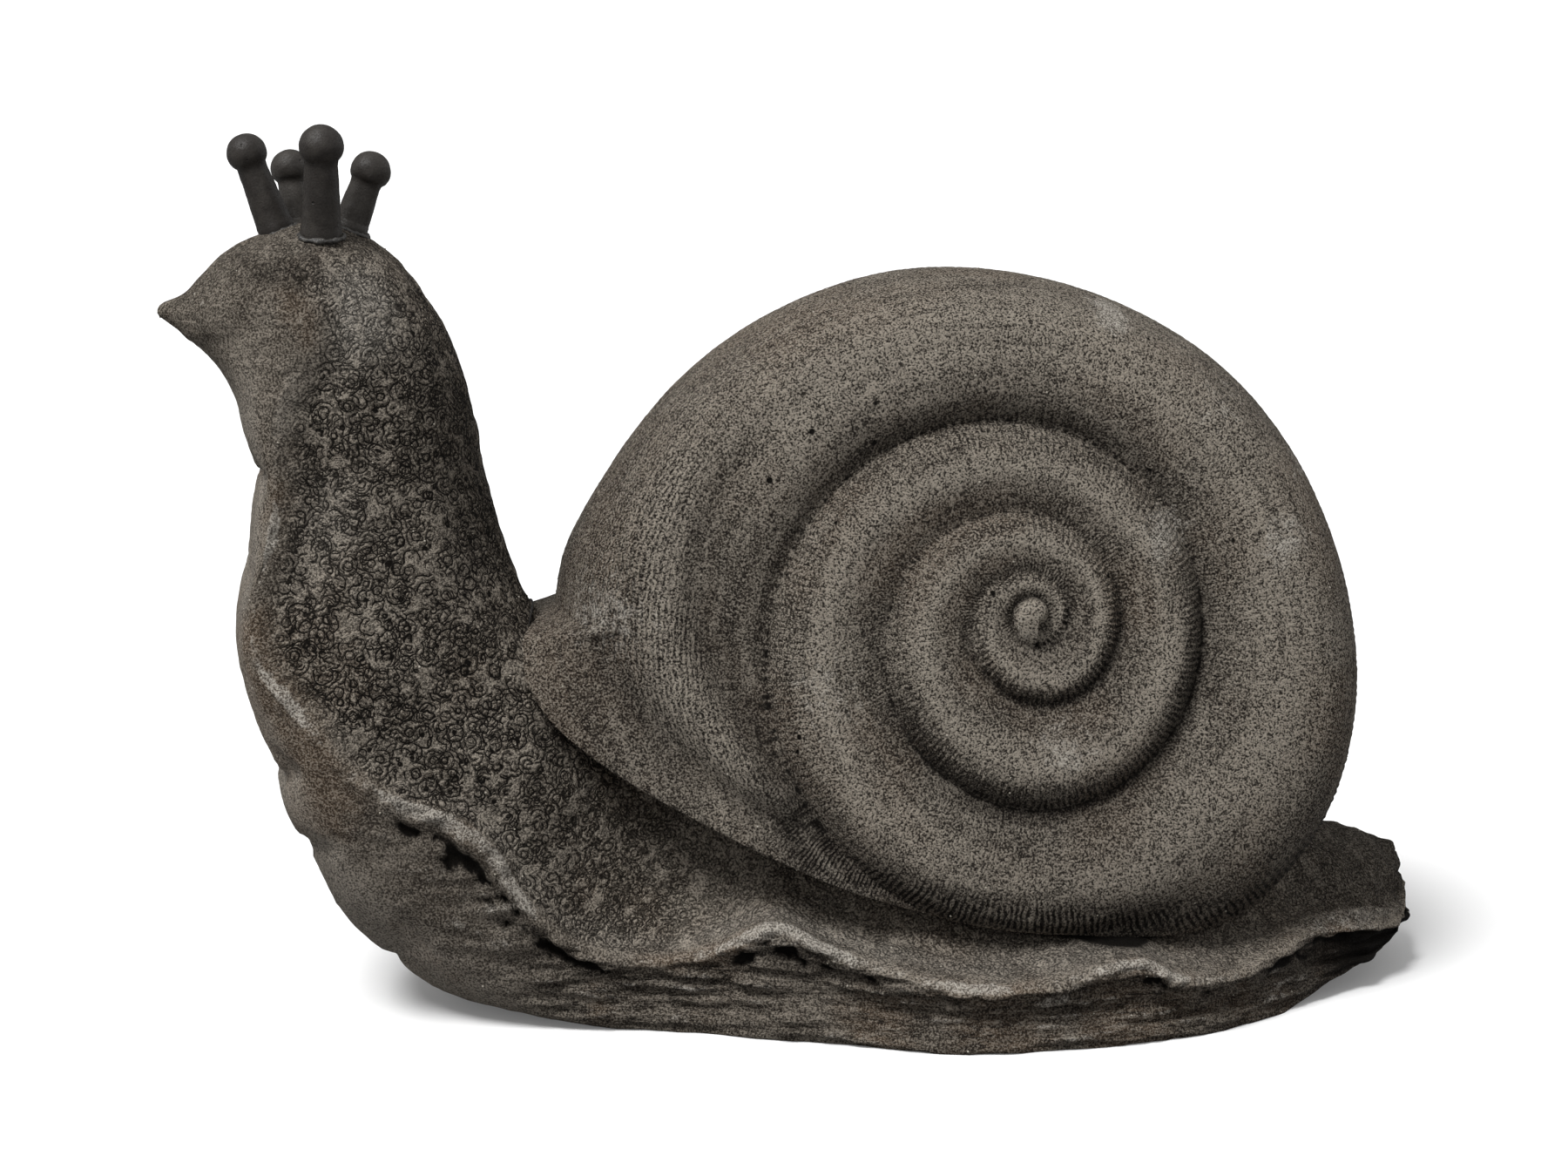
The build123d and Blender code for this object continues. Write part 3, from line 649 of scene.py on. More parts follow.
def closeEnd(row, outward, ring, loop, points, faces, values):
    # a rounded end over one row of the body's grid: a smaller ring and a middle point
    columns, start = len(ring), len(points)
    middle = ring.mean(0)
    shrunk = middle + (ring - middle) * 0.55 + np.array([outward * 0.75, 0, 0])
    points = np.concatenate([points, shrunk, [middle + np.array([outward, 0, 0])]])
    for k in range(columns):
        a, b, c, d = loop[k], loop[k + 1], start + k, start + (k + 1) % columns
        faces.append([a, b, d, c] if row == 0 else [b, a, c, d])
        faces.append([c, d, start + columns] if row == 0 else [d, c, start + columns])
    for key, value in values.items():
        values[key] = np.concatenate([value, value[loop[:-1]], [value[loop[0]]]])
    return points


def makeBody(form):
    grid, u, v = bodyGrid(form)
    kind = np.interp(u, range(len(hoopShares)), [row[-1] for row in hoopShares])
    # where things are: on the frill's edge, on the wall below it, on the skin above it
    part = {"edge": bell(v, 4.0, 0.22), "wall": smooth(v, 1.9, 2.3) * smooth(v, 4.0, 3.7),
            "skin": smooth(v, 4.15, 4.6), "foot": smooth(kind, 1.0, 2.2), "tail": smooth(u, 5, 2),
            "breast": smooth(v, 2.6, 1.6) * smooth(u, 19, 22) * smooth(u, 36, 33)}
    normal = -gridNormals(np.concatenate([grid, grid[:, :1]], 1))[:, :-1]
    x, over = grid[..., 0], aboveSeat(grid[..., 0], grid[..., 2])
    over = over * smooth(x, -92, -80)
    # painted shade along the seam where the body runs under the shell
    seamShade = bell(over, 0.8, 2.2) * smooth(x, -95, -85) * smooth(v, 4.4, 5.0)
    move, cut, crest, flakes = bodyRelief(form, grid, u, v, part)
    values = bodyMasks(form, u, v, part, seamShade, cut, crest, flakes)
    # under the shell the body draws in, which leaves the seam that the painted shade darkens; nothing goes
    # below the floor
    grid = grid + normal * move[..., None]
    grid[..., 1] *= 1 - form["tuckShare"] * (smooth(over, -0.5, 7) * smooth(v, 4.4, 5.2))
    grid[..., 2] = np.maximum(grid[..., 2], 0)
    index = closedIndex(*grid.shape[:2])
    points, faces = grid.reshape(-1, 3), gridFaces(index).tolist()
    for row, outward in ((0, 1.6), (len(grid) - 1, -1.2)):
        points = closeEnd(row, outward, grid[row], index[row], points, faces, values)
    return newPiece("snailBody", points, faces, values)


# shell: a stepped spiral in relief on both sides of a wedge, cut along the seat

shellForm = {
    "radius": 110.0, "eyeX": 55.5, "eyeZ": 120.0, "poleLead": 3.0, "poleLift": 11.0, "poleRise": 5.6,
    "faceHalf": 47.0, "faceTaper": 14.0, "coneRise": 15.0, "coneRadius": 100.0, "crestRise": 9.5,
    "grooveRadius": 37.0, "grooveTip": 10.0, "outerGrowth": 1.8, "innerGrowth": 2.6, "faceLean": 0.2,
    "growthTurn": 0.25, "firstTurn": -2.25, "lastStart": 0.75, "lastBlend": 0.15, "lipTurns": (1.39, 1.58),
    "notchIn": (148, 151), "notchOut": (192, 182), "softReach": 0.055, "softSteps": 13,
    "turnSteps": 640, "rowSteps": 15, "rowPower": 0.9, "rimSteps": 10, "seatLift": 0.9,
    "ribPitch": 2.1, "ribDepth": 0.28, "grainSize": 3.5, "grainHeight": 0.22, "seed": 7,
    # pale places of painted light: X, spread, Z, spread in millimetres, amount
    "paintedLightSpots": ((90, 7, 218, 7, 0.9), (139, 9, 150, 9, 0.7), (150, 7, 170, 7, 0.5), (-42, 10, 216, 10, 0.6),
             (-68, 16, 130, 16, 0.5), (101, 9, 153, 9, 0.7), (66, 12, 89, 12, 0.5),
             (-5, 14, 108, 14, 0.45), (120, 12, 190, 12, 0.35)),
}
# radius of the rim round the last turn, in shell radii
rimShares = (1.02, 1.10, 1.14, 1.16, 1.165, 1.13, 1.08, 1.04, 1.016, 1.0, 0.985, 0.984,
             1.0, 1.03, 1.06, 1.10, 1.14, 1.155, 1.45, 1.55, 1.47, 1.34, 1.23, 1.155, 1.10)
# the rim beside the notch, in degrees about the eye and millimetres
notchRim = ((150.0, 125.6), (153.3, 126.9), (157.7, 128.5), (161.8, 130.5), (165.8, 132.8), (168.4, 134.4),
            (171.5, 135.8), (175.0, 136.4), (177.2, 136.8), (178.0, 139.5), (178.7, 148.0), (180.0, 157.0),
            (184.0, 163.0))
# section of a whorl from groove to groove: share of the width and of the crest's rise
whorlShares = ((0, 0), (0.2, 0.40), (0.45, 0.84), (0.66, 1), (0.86, 0.72), (1, 0))
lastWhorlShares = ((0, 0), (0.18, 0.42), (0.4, 0.78), (0.62, 0.95), (0.82, 1), (1, 0.97))
# at the lip a bright band runs out between two hollows: radius of each in millimetres by turns
lipBand = ((1.38, 118), (1.46, 110.6), (1.5, 108), (1.555, 96), (1.6, 88), (1.64, 80))
lipFlange = ((1.42, 150), (1.46, 140), (1.5, 129), (1.555, 106), (1.6, 90), (1.64, 82))
lipHollow = ((1.38, 108), (1.43, 103), (1.461, 99.5), (1.5, 92.5), (1.538, 87), (1.57, 80.7), (1.64, 70))


def grooveRadius(t):
    form = shellForm
    growth = np.where(t > form["growthTurn"], form["outerGrowth"], form["innerGrowth"])
    return form["grooveRadius"] * growth ** (t - form["growthTurn"])


def rimRadius(t):
    form, steps = shellForm, len(rimShares) - 1
    radius = splineThrough(rimShares, np.clip((t - form["lastStart"]) * steps, 0, steps)) * form["radius"]
    degrees = (t % 1) * 360
    share = smooth(degrees, *form["notchIn"]) * smooth(degrees, *form["notchOut"])
    return mix(radius, np.interp(degrees, *np.array(notchRim).T), share)


def shellPlace(radius, t):
    form = shellForm
    drift = 1 - np.minimum(1, radius / (form["grooveRadius"] * form["outerGrowth"] ** 0.5))
    x = form["eyeX"] + form["poleLead"] * drift + radius * np.cos(2 * math.pi * t)
    z = form["eyeZ"] + form["poleLift"] * drift + radius * np.sin(2 * math.pi * t)
    return x, z


def faceDepth(radius, t):
    form = shellForm
    x, z = shellPlace(radius, t)
    reach = np.minimum(form["coneRadius"], np.maximum(radius, form["grooveTip"]))
    cone = form["coneRise"] * (1 - reach / form["coneRadius"])
    front = np.maximum(0, form["eyeX"] - form["grooveTip"] - x) / form["radius"]
    return form["faceHalf"] + cone - form["faceLean"] * (z - form["eyeZ"]) - form["faceTaper"] * front ** 2


def stripEdge(t):
    # the shoulder passes the notch more evenly than the rim does
    reach, steps = shellForm["softReach"], shellForm["softSteps"]
    soft = sum(rimRadius(t + shift) for shift in np.linspace(-reach, reach, steps)) / steps
    rim = np.minimum(soft, rimRadius(t))
    shoulder = mix(grooveRadius(t), rim, mix(0.55, 0.8, smooth(t, *shellForm["lipTurns"])))
    return mix(grooveRadius(t + 1), shoulder, lastShare(t))


def lastShare(t):
    # how far the last whorl has taken its own section
    return smooth(t, shellForm["lastStart"], shellForm["lastStart"] + shellForm["lastBlend"])


def lipLines(t):
    return [np.interp(t, *np.array(line).T) for line in (lipBand, lipFlange, lipHollow)]


def lipHeight(t, radius, inner):
    # height in shares of the crest's rise
    band, flange, hollow = lipLines(t)
    rise = 0.42 * smooth(radius - inner, 0, 6) + 0.80 * bell(radius, band, 8.5) * smooth(t, 1.62, 1.56)
    rise -= 0.45 * bell(radius, flange, 5.5) * smooth(t, 1.44, 1.52) + 0.38 * bell(radius, hollow, 6.5)
    rise += 0.22 * smooth(radius - flange, 0, 13) * smooth(t, 1.42, 1.5)
    return rise * smooth(radius - inner, 0, 4)


def whorlStrip(form, t, row, last):
    # one turn between two grooves: its points, the way along it and measures for the colours
    whorl, lastWhorl = splineThrough(whorlShares, row), splineThrough(lastWhorlShares, row)
    t = t[:, None] + 0 * row
    inner = grooveRadius(t)
    outer = stripEdge(t) if last else grooveRadius(t + 1)
    place, height = whorl[:, 0] + 0 * t, whorl[:, 1] + 0 * t
    crest = np.minimum(form["crestRise"], 0.2 * (outer - inner))
    crest *= smooth(t, form["firstTurn"], form["firstTurn"] + 1)
    lipped = smooth(t, *form["lipTurns"]) if last else 0 * t
    if last:
        place = mix(mix(place, lastWhorl[:, 0], lastShare(t)), row / row[-1], lipped)
        height = mix(height, lastWhorl[:, 1], lastShare(t))
        crest = mix(crest, form["crestRise"], lastShare(t))
    radius = mix(inner, outer, place)
    if last:
        height = mix(height, lipHeight(t, radius, inner), lipped)
    x, z = shellPlace(radius, t)
    grid = np.stack([x, -(faceDepth(radius, t) + crest * height), z], -1)
    step = np.concatenate([[0], np.cumsum(np.linalg.norm(np.diff(grid[:, -1], axis=0), axis=1))])
    return {"grid": grid, "path": step[:, None] + 0 * t, "turns": t, "place": place, "lipped": lipped,
            "around": 0 * t, "fromGroove": radius - inner, "toGroove": outer - radius}


def addRim(form, t, strip):
    # the last whorl ends in its shoulder, and a rounded rim follows it to the middle plane
    angle = np.arange(1, form["rimSteps"] + 1) / form["rimSteps"] * math.pi / 2
    turns = t[:, None] + 0 * angle
    radius = mix(stripEdge(t)[:, None], rimRadius(t)[:, None], np.sin(angle))
    x, z = shellPlace(radius, turns)
    more = np.stack([x, strip["grid"][:, -1:, 1] * np.cos(angle), z], -1)
    more[:, -1, 1] = 0
    added = {"grid": more, "turns": turns, "around": angle / (math.pi / 2) + 0 * turns,
             "fromGroove": radius - grooveRadius(turns)}
    for key in ("path", "lipped"):
        added[key] = strip[key][:, -1:] + 0 * angle
    return {key: np.concatenate([strip[key], value], 1) for key, value in added.items()}


# painted shade beside a groove: a narrow dark line and a wider soft fall-off
def grooveShade(fromGroove, narrow, wide):
    return 0.9 * np.exp(-fromGroove / narrow) + 0.42 * np.exp(-(fromGroove / wide) ** 2)


def innerLook(strip):
    fromGroove, toGroove, place, turns = (strip[key] for key in ("fromGroove", "toGroove", "place", "turns"))
    # painted shade along each groove, and on the outer wall where it faces down on the lower half of the
    # turn
    below = smooth(-np.sin(2 * math.pi * (turns - 0.06)), -0.35, 0.45)
    deep = grooveShade(fromGroove, 1.3, np.minimum(9, 0.3 * (fromGroove + toGroove))) * mix(1, 0.55, below)
    deep += 0.75 * below * smooth(place, 0.72, 0.84) + mix(0.15, 0.6, below) * np.exp(-toGroove / 1.2)
    rib = 0.12 + 0.88 * smooth(place, 0.68, 0.8) * mix(0.6, 1, below)
    rib += 0.5 * smooth(place, 0.22, 0.08) * (1 - below)
    rib *= smooth(toGroove, 0.0, 0.6) * smooth(fromGroove, 0.0, 0.6)
    # the last part takes the look of the outer whorl that it runs into
    aside = smooth(turns, 0.5, 0.745)
    deep = mix(deep, grooveShade(fromGroove, 1.6, 10), aside)
    rib = mix(rib, (0.2 + 0.35 * smooth(fromGroove, 7, 3)) * smooth(fromGroove, 0.0, 0.8), aside)
    # pale along the crest with dry brush and painted highlight
    high = mix(bell(place, 0.56, 0.15), 0.81 * bell(fromGroove, 26, 13), aside)
    return deep, high, rib, 0 * turns, aside


def outerLook(strip):
    fromGroove, around, lipped, turns = (strip[key] for key in ("fromGroove", "around", "lipped", "turns"))
    bottom = np.clip(bell(turns, 0.80, 0.16) + bell(turns, 1.72, 0.1), 0, 1)
    rib = 0.2 + 0.8 * smooth(around, 0.05, 0.3) * bottom + 0.35 * smooth(fromGroove, 7, 3)
    rib *= smooth(fromGroove, 0.0, 0.8) * (1 - 0.85 * lipped)
    # the broad crest is pale with dry brush and painted highlight
    high = bell(fromGroove, 26, 13) * mix(0.9, 0.35, smooth(turns, 1.35, 1.55))
    # the last turn dies out where it runs into the turn before
    ending = smooth(turns, 1.6, 1.745)
    # painted shade along the groove, and under the rim at the bottom
    deep = grooveShade(fromGroove, 1.6, 10) * (1 - ending) + 0.35 * bottom * smooth(around, 0.1, 0.5)
    # the lip: pale with painted highlight along its band, dark with painted shade in its hollows, with fine
    # lines along it
    band, flange, inside = lipLines(turns)
    reach = fromGroove + grooveRadius(turns)
    near = smooth(turns, 1.36, 1.46)
    stria = smooth(turns, 1.34, 1.45) * smooth(flange - reach, -2, 5) * smooth(reach - inside, 0, 6)
    high = mix(high, 1.3 * bell(reach, band, 8.5) * smooth(turns, 1.64, 1.58), near)
    high = mix(high, 0.81 * bell(reach - grooveRadius(turns - 1), 26, 13), ending)
    dark = 0.55 * bell(reach, inside, 7) + 0.6 * bell(reach, flange, 6) * smooth(turns, 1.44, 1.50)
    deep += near * (1 - ending) * (dark + 0.3 * smooth(reach - flange, 4, 10))
    aside = np.clip(smooth(turns, 1.4, 1.3) + smooth(turns, 1.58, 1.72), 0, 1)
    return deep, high, rib, stria, aside


def shellMasks(form, strip, last):
    deep, high, rib, stria, aside = outerLook(strip) if last else innerLook(strip)
    x, y, z = (strip["grid"][..., k] for k in range(3))
    # the outer whorl turns under towards its seat: ribbed like a comb and dark with painted shade, and the
    # ends of the turns get painted shade lower down
    under = smooth(aboveSeat(x, z), 19, 5) * smooth(x, -35, 0)
    deep += 0.75 * under + 0.45 * smooth(z, 85, 30) * aside
    # spots of painted light, kept off the rim
    light = spots(x, z, form["paintedLightSpots"]) * smooth(np.abs(y), 4, 20)
    values = {"hollow": deep, "crest": high, "paintedLight": light, "ribShare": np.maximum(rib, under),
              "striaShare": stria}
    return {key: np.clip(value, 0, 1).ravel() for key, value in values.items()}


def makeEye(form, first, start):
    # a small dome over the start of the spiral: its points and faces
    grid = first["grid"]
    wide = grid.shape[1]
    loop = np.concatenate([grid[:, 0], grid[0, -2:0:-1]])
    loopIndex = np.concatenate([np.arange(len(grid)) * wide, np.arange(wide - 2, 0, -1)])
    x, z = shellPlace(0.0, 0.0)
    pole = np.array([x, loop[:, 1].mean() - form["poleRise"], z])
    rings = []
    for share in (0.82, 0.62, 0.40, 0.18):
        ring = mix(pole, loop, share)
        ring[:, 1] = mix(loop[:, 1], pole[1], np.sqrt(1 - share ** 2))
        rings.append(ring)
    size = len(loop)
    index = np.concatenate([[loopIndex], start + np.arange(len(rings) * size).reshape(-1, size)])
    index = np.concatenate([index, index[:, :1]], 1)
    tip = np.stack([index[-1, :-1], np.full(size, start + len(rings) * size), index[-1, 1:]], -1)
    return np.concatenate(rings + [[pole]]), gridFaces(index), tip


def makeShell(form):
    count = form["turnSteps"]
    # the same rows across every turn, so that the turns meet point on point
    rows = (len(whorlShares) - 1) * np.linspace(0, 1, form["rowSteps"] + 1) ** form["rowPower"]
    strips, points, faces, paths, masks, total = [], [], [], [], [], 0
    for first in np.arange(form["firstTurn"], form["lastStart"] + 0.5):
        last = first == form["lastStart"]
        t = first + np.arange(count + 1) / count
        strip = whorlStrip(form, t, rows, last)
        if last:
            strip = addRim(form, t, strip)
        masks.append(shellMasks(form, strip, last))
        grid = strip["grid"]
        across = np.cumsum(np.linalg.norm(np.diff(grid, axis=1), axis=-1), 1)
        across = np.concatenate([np.zeros((count + 1, 1)), across], 1)
        paths.append(np.stack([strip["path"], across], -1).reshape(-1, 2) * mm)
        size = across.size
        faces.append(gridFaces(total + np.arange(size).reshape(across.shape), turned=True))
        points.append(grid.reshape(-1, 3))
        strips.append(strip)
        total += size
    cap, dome, tip = makeEye(form, strips[0], total)
    # the eye's dome: pale with painted highlight, with a little painted light
    eyeLook = {"hollow": 0.0, "crest": 0.8, "paintedLight": 0.2, "ribShare": 0.0, "striaShare": 0.0}
    masks.append({key: np.full(len(cap), value) for key, value in eyeLook.items()})
    paths.append(np.zeros((len(cap), 2)))
    near, quads = np.concatenate(points + [cap]), np.concatenate(faces + [dome])
    size = len(near)
    # the far side is the near side mirrored, its faces the other way round
    parts = (quads[:, ::-1], tip[:, ::-1], quads + size, tip + size)
    allFaces = [face for part in parts for face in part.tolist()]
    # the step where the last turn ends
    wide = strips[-1]["grid"].shape[1]
    start = total - (count + 1) * wide
    step = list(range(total - wide, total)) + list(range(start + wide - 1, start + len(rows) - 1, -1))
    allFaces += [step, [k + size for k in step[::-1]]]
    values = {key: np.tile(np.concatenate([part[key] for part in masks]), 2) for key in eyeLook}
    piece = newPiece("spiralShell", np.concatenate([near, near * (1, -1, 1)]), allFaces, values)
    corner = np.empty(len(piece.data.loops), np.int64)
    piece.data.loops.foreach_get("vertex_index", corner)
    path = np.tile(np.concatenate(paths), (2, 1))[corner]
    piece.data.uv_layers.new(name="whorlMap").data.foreach_set("uv", path.astype(np.float32).ravel())
    return piece


def cutAlongSeat(piece, form):
    # keeps what lies over the seat: one prism across the whole width
    line = seatPath(form["seatLift"])
    top, tail, half = 400.0, 450.0, 200.0
    outline = np.concatenate([line, [(tail, line[-1, 1]), (tail, top), (line[0, 0], top)]])
    size = len(outline)
    near = np.stack([outline[:, 0], np.full(size, -half), outline[:, 1]], 1)
    faces = [list(range(size)), list(range(2 * size - 1, size - 1, -1))]
    faces += [[k, (k + 1) % size, (k + 1) % size + size, k + size] for k in range(size)]
    cutter = newPiece("seatCutter", np.concatenate([near, near + (0, 2 * half, 0)]), faces)
    weld(cutter, 0.001)
    tool = piece.modifiers.new("seat", "BOOLEAN")
    tool.operation, tool.solver, tool.object = "INTERSECT", "EXACT", cutter
    applyModifiers(piece)
    bpy.data.objects.remove(cutter)


body = makeBody(bodyForm)
weld(body, 0.01)
print("stage: body", len(body.data.polygons))
shell = makeShell(shellForm)
weld(shell, 0.01)
cutAlongSeat(shell, shellForm)
print("stage: shell", len(shell.data.polygons))


# geometry nodes: helpers for modifiers with named inputs

def shapeTree(name, inputs):
    # a modifier's tree: the geometry is its first input and its output
    tree, given, result = newTree(
        name, "GeometryNodeTree", {"Geometry": ("Geometry", None), **inputs}, {"Geometry": "Geometry"})
    tree.is_modifier = True
    return tree, given, result


def lumpHeight(height, inputs):
    # noise from minus to plus the height
    rough = addNode(height.id_data, "ShaderNodeTexNoise", inputs, noise_dimensions="4D").outputs[0]
    return times(calc("SUBTRACT", rough, 0.5), times(height, 2.0))


def pushOut(geometry, reach):
    # moves every point along its normal
    normal = addNode(reach.id_data, "GeometryNodeInputNormal").outputs[0]
    inputs = {0: normal, "Scale": reach}
    offset = addNode(reach.id_data, "ShaderNodeVectorMath", inputs, operation="SCALE").outputs[0]
    inputs = {"Geometry": geometry, "Offset": offset}
    return addNode(reach.id_data, "GeometryNodeSetPosition", inputs).outputs[0]


def finishTree(tree, geometry, material, result):
    real = addNode(tree, "GeometryNodeRealizeInstances", {"Geometry": geometry}).outputs[0]
    painted = addNode(tree, "GeometryNodeSetMaterial", {"Geometry": real, "Material": material})
    setInputs(result, {"Geometry": painted.outputs[0]})


def useTree(piece, tree, values):
    modifier = piece.modifiers.new(tree.name, "NODES")
    modifier.node_group = tree
    for item in tree.interface.items_tree:
        if item.in_out == "INPUT" and item.name in values:
            modifier[item.identifier] = values[item.name]
    applyModifiers(piece)


def makeRibTree():
    # ribs across the whorls from the path along them, and lumps of sand
    tree, given, result = shapeTree("whorlRibs", {
        "Rib Pitch": ("Float", 2.1 * mm), "Rib Depth": ("Float", 0.3 * mm),
        "Grain Size": ("Float", 3.5 * mm), "Grain Height": ("Float", 0.2 * mm), "Seed": ("Float", 7.0),
        "Material": ("Material", None)})
    reader = "GeometryNodeInputNamedAttribute"
    path = addNode(tree, reader, {"Name": "whorlMap"}, data_type="FLOAT_VECTOR").outputs["Attribute"]
    share = addNode(tree, reader, {"Name": "ribShare"}, data_type="FLOAT").outputs["Attribute"]
    along = addNode(tree, "ShaderNodeSeparateXYZ", {0: path}).outputs[0]
    wave = calc("SINE", times(calc("DIVIDE", along, given["Rib Pitch"]), 2 * math.pi))
    rib = times(wave, times(share, given["Rib Depth"]))
    scale = calc("DIVIDE", 1.0, given["Grain Size"])
    lump = lumpHeight(given["Grain Height"], {"W": given["Seed"], "Scale": scale, "Detail": 2.0})
    moved = pushOut(given["Geometry"], calc("SUBTRACT", lump, rib))
    finishTree(tree, moved, given["Material"], result)
    return tree


useTree(shell, makeRibTree(), {
    "Rib Pitch": shellForm["ribPitch"] * mm, "Rib Depth": shellForm["ribDepth"] * mm,
    "Grain Size": shellForm["grainSize"] * mm, "Grain Height": shellForm["grainHeight"] * mm,
    "Seed": float(shellForm["seed"]), "Material": shellStone})
body.data.materials.append(skinStone)
print("stage: ribs on the shell", len(shell.data.polygons))


# feelers: turned stalks with a ball on top, each in its ring of glue

feelerForm = {
    "crownX": -152.9, "crownRadius": 11.8, "crownZ": 246.4, "dropShare": 0.15, "socket": 6.0,
    "roundSteps": 72, "seed": 50, "seedStep": 10,
    # name: compass turn, spread share and lean; root, tip and ball radii, reach and wear
    "feelers": {
        "feeler_front": ((180, 1.0, 19.5), (5.5, 4.3, 6.0, 24.8, 0.0)),
        "feeler_near": ((-85, 1.18, 10), (6.0, 4.8, 6.6, 26.8, 0.0)),
        "feeler_far": ((110, 1.31, 13), (4.8, 4.2, 6.0, 18.8, 0.6)),
        "feeler_rear": ((0, 0.86, 21), (5.3, 4.5, 6.0, 18.8, 0.35)),
    },
}


def feelerFrame(form, turn, spread, lean):
    across = np.array([math.cos(math.radians(turn)), math.sin(math.radians(turn)), 0])
    root = np.array([form["crownX"], 0, form["crownZ"] - form["crownRadius"] * spread * form["dropShare"]])
    root = root + across * form["crownRadius"] * spread
    up = np.array([0, 0, math.cos(math.radians(lean))]) + across * math.sin(math.radians(lean))
    side = np.cross([0, 1, 0], up)
    side /= np.linalg.norm(side)
    return root, side, np.cross(up, side), up


def makeFeeler(name, form, seed):
    stance, (rootRadius, tipRadius, ball, reach, worn) = form["feelers"][name]
    neck = reach - math.sqrt(ball ** 2 - tipRadius ** 2)
    profile = [(0.0, -form["socket"]), (rootRadius, -form["socket"]), (rootRadius * 1.02, -1),
               (rootRadius * 1.03, 0.6), (rootRadius, 2.2)]
    profile += [(mix(rootRadius, tipRadius, k), neck * k) for k in np.linspace(0.15, 0.94, 16)]
    turns = np.linspace(math.atan2(tipRadius, reach - neck) + 0.1, math.pi, 30)
    profile += [(ball * math.sin(a), reach - ball * math.cos(a)) for a in turns]
    angle = np.arange(form["roundSteps"]) / form["roundSteps"] * 2 * math.pi
    cosine, sine = np.cos(angle), np.sin(angle)
    root, side, front, up = feelerFrame(form, *stance)
    radius, height = (column[:, None] for column in np.array(profile).T)
    grid = root + (radius * cosine)[..., None] * side + (radius * sine)[..., None] * front
    grid = grid + (height + 0 * angle)[..., None] * up
    wobble = 0.16 * lumps(grid, 5.0, seed) + 0.05 * lumps(grid, 1.5, seed + 5, 2)
    # a thin mould line up both sides and a small step under the ball
    wobble = wobble + 0.12 * (bell(cosine, 1, 0.01) + bell(cosine, -1, 0.01)) * (height > 1)
    wobble = wobble - 0.22 * bell(height, neck + 0.3, 0.7)
    wobble = wobble + 0.2 * bell(height, 0.8, 0.9) * lumps(grid, 2.5, seed + 9)
    out = cosine[:, None] * side + sine[:, None] * front
    grid = grid + (wobble * np.minimum(1, radius / 2))[..., None] * out
    wear = worn * np.clip(0.6 + 0.5 * lumps(grid, 6.0, seed + 2), 0, 1)
    faces = gridFaces(closedIndex(*wear.shape), turned=True)
    piece = newPiece(name + "_dressed", grid.reshape(-1, 3), faces, {"worn": wear.ravel()})
    weld(piece, 0.02)
    piece.data.materials.append(feelerStone)
    return piece


glueForm = {"overlap": 0.5, "thickness": 0.8, "raggedness": 1.3, "sink": 0.4, "noiseScale": 420.0}


def makeGlueTree():
    # a ragged bead of glue: a ring whose round section swells and sinks with the noise
    tree, given, result = shapeTree("glueBead", {
        "Radius": ("Float", 6 * mm), "Thickness": ("Float", 1.4 * mm), "Raggedness": ("Float", 1.2 * mm),
        "Seed": ("Float", 1.0), "Material": ("Material", None)})
    ring, section = (addNode(tree, "GeometryNodeCurvePrimitiveCircle",
                             {"Resolution": steps, "Radius": given[size]}, mode="RADIUS").outputs["Curve"]
                     for steps, size in ((90, "Radius"), (14, "Thickness")))
    tube = addNode(tree, "GeometryNodeCurveToMesh", {"Curve": ring, "Profile Curve": section}).outputs[0]
    place = addNode(tree, "GeometryNodeInputPosition").outputs[0]
    reach = lumpHeight(given["Raggedness"], {
        "Vector": place, "W": given["Seed"], "Scale": glueForm["noiseScale"], "Detail": 3.0})
    smoothed = addNode(tree, "GeometryNodeSetShadeSmooth", {"Geometry": pushOut(tube, reach)})
    finishTree(tree, smoothed.outputs[0], given["Material"], result)
    return tree


def makeGlue(name, form, seed):
    stance, radii = feelerForm["feelers"][name]
    root, side, front, up = feelerFrame(feelerForm, *stance)
    glue = newPiece(name + "_bead", [(0, 0, 0)], [])
    useTree(glue, glueTree, {
        "Radius": (radii[0] + form["overlap"]) * mm, "Thickness": form["thickness"] * mm,
        "Raggedness": form["raggedness"] * mm, "Seed": float(seed), "Material": glueStone})
    # laid flat on the crown round the stalk's root
    spot = np.empty(len(glue.data.vertices) * 3)
    glue.data.vertices.foreach_get("co", spot)
    spot = spot.reshape(-1, 3)
    spot = root * mm + spot[:, :1] * side + spot[:, 1:2] * front + (spot[:, 2:] - form["sink"] * mm) * up
    glue.data.vertices.foreach_set("co", spot.ravel())
    return glue


glueTree = makeGlueTree()
feelerPieces, gluePieces = [], []
for number, name in enumerate(feelerForm["feelers"]):
    feeler = makeFeeler(name, feelerForm, feelerForm["seed"] + feelerForm["seedStep"] * number)
    feelerPieces.append((feeler, name))
    gluePieces.append((makeGlue(name, glueForm, number), name + "_glue"))
print("stage: feelers and glue made")


# loose quartz grains pressed into the surface, scattered by geometry nodes

gritForm = {"density": 1500.0, "smallest": 0.18, "largest": 0.42, "seed": 11}


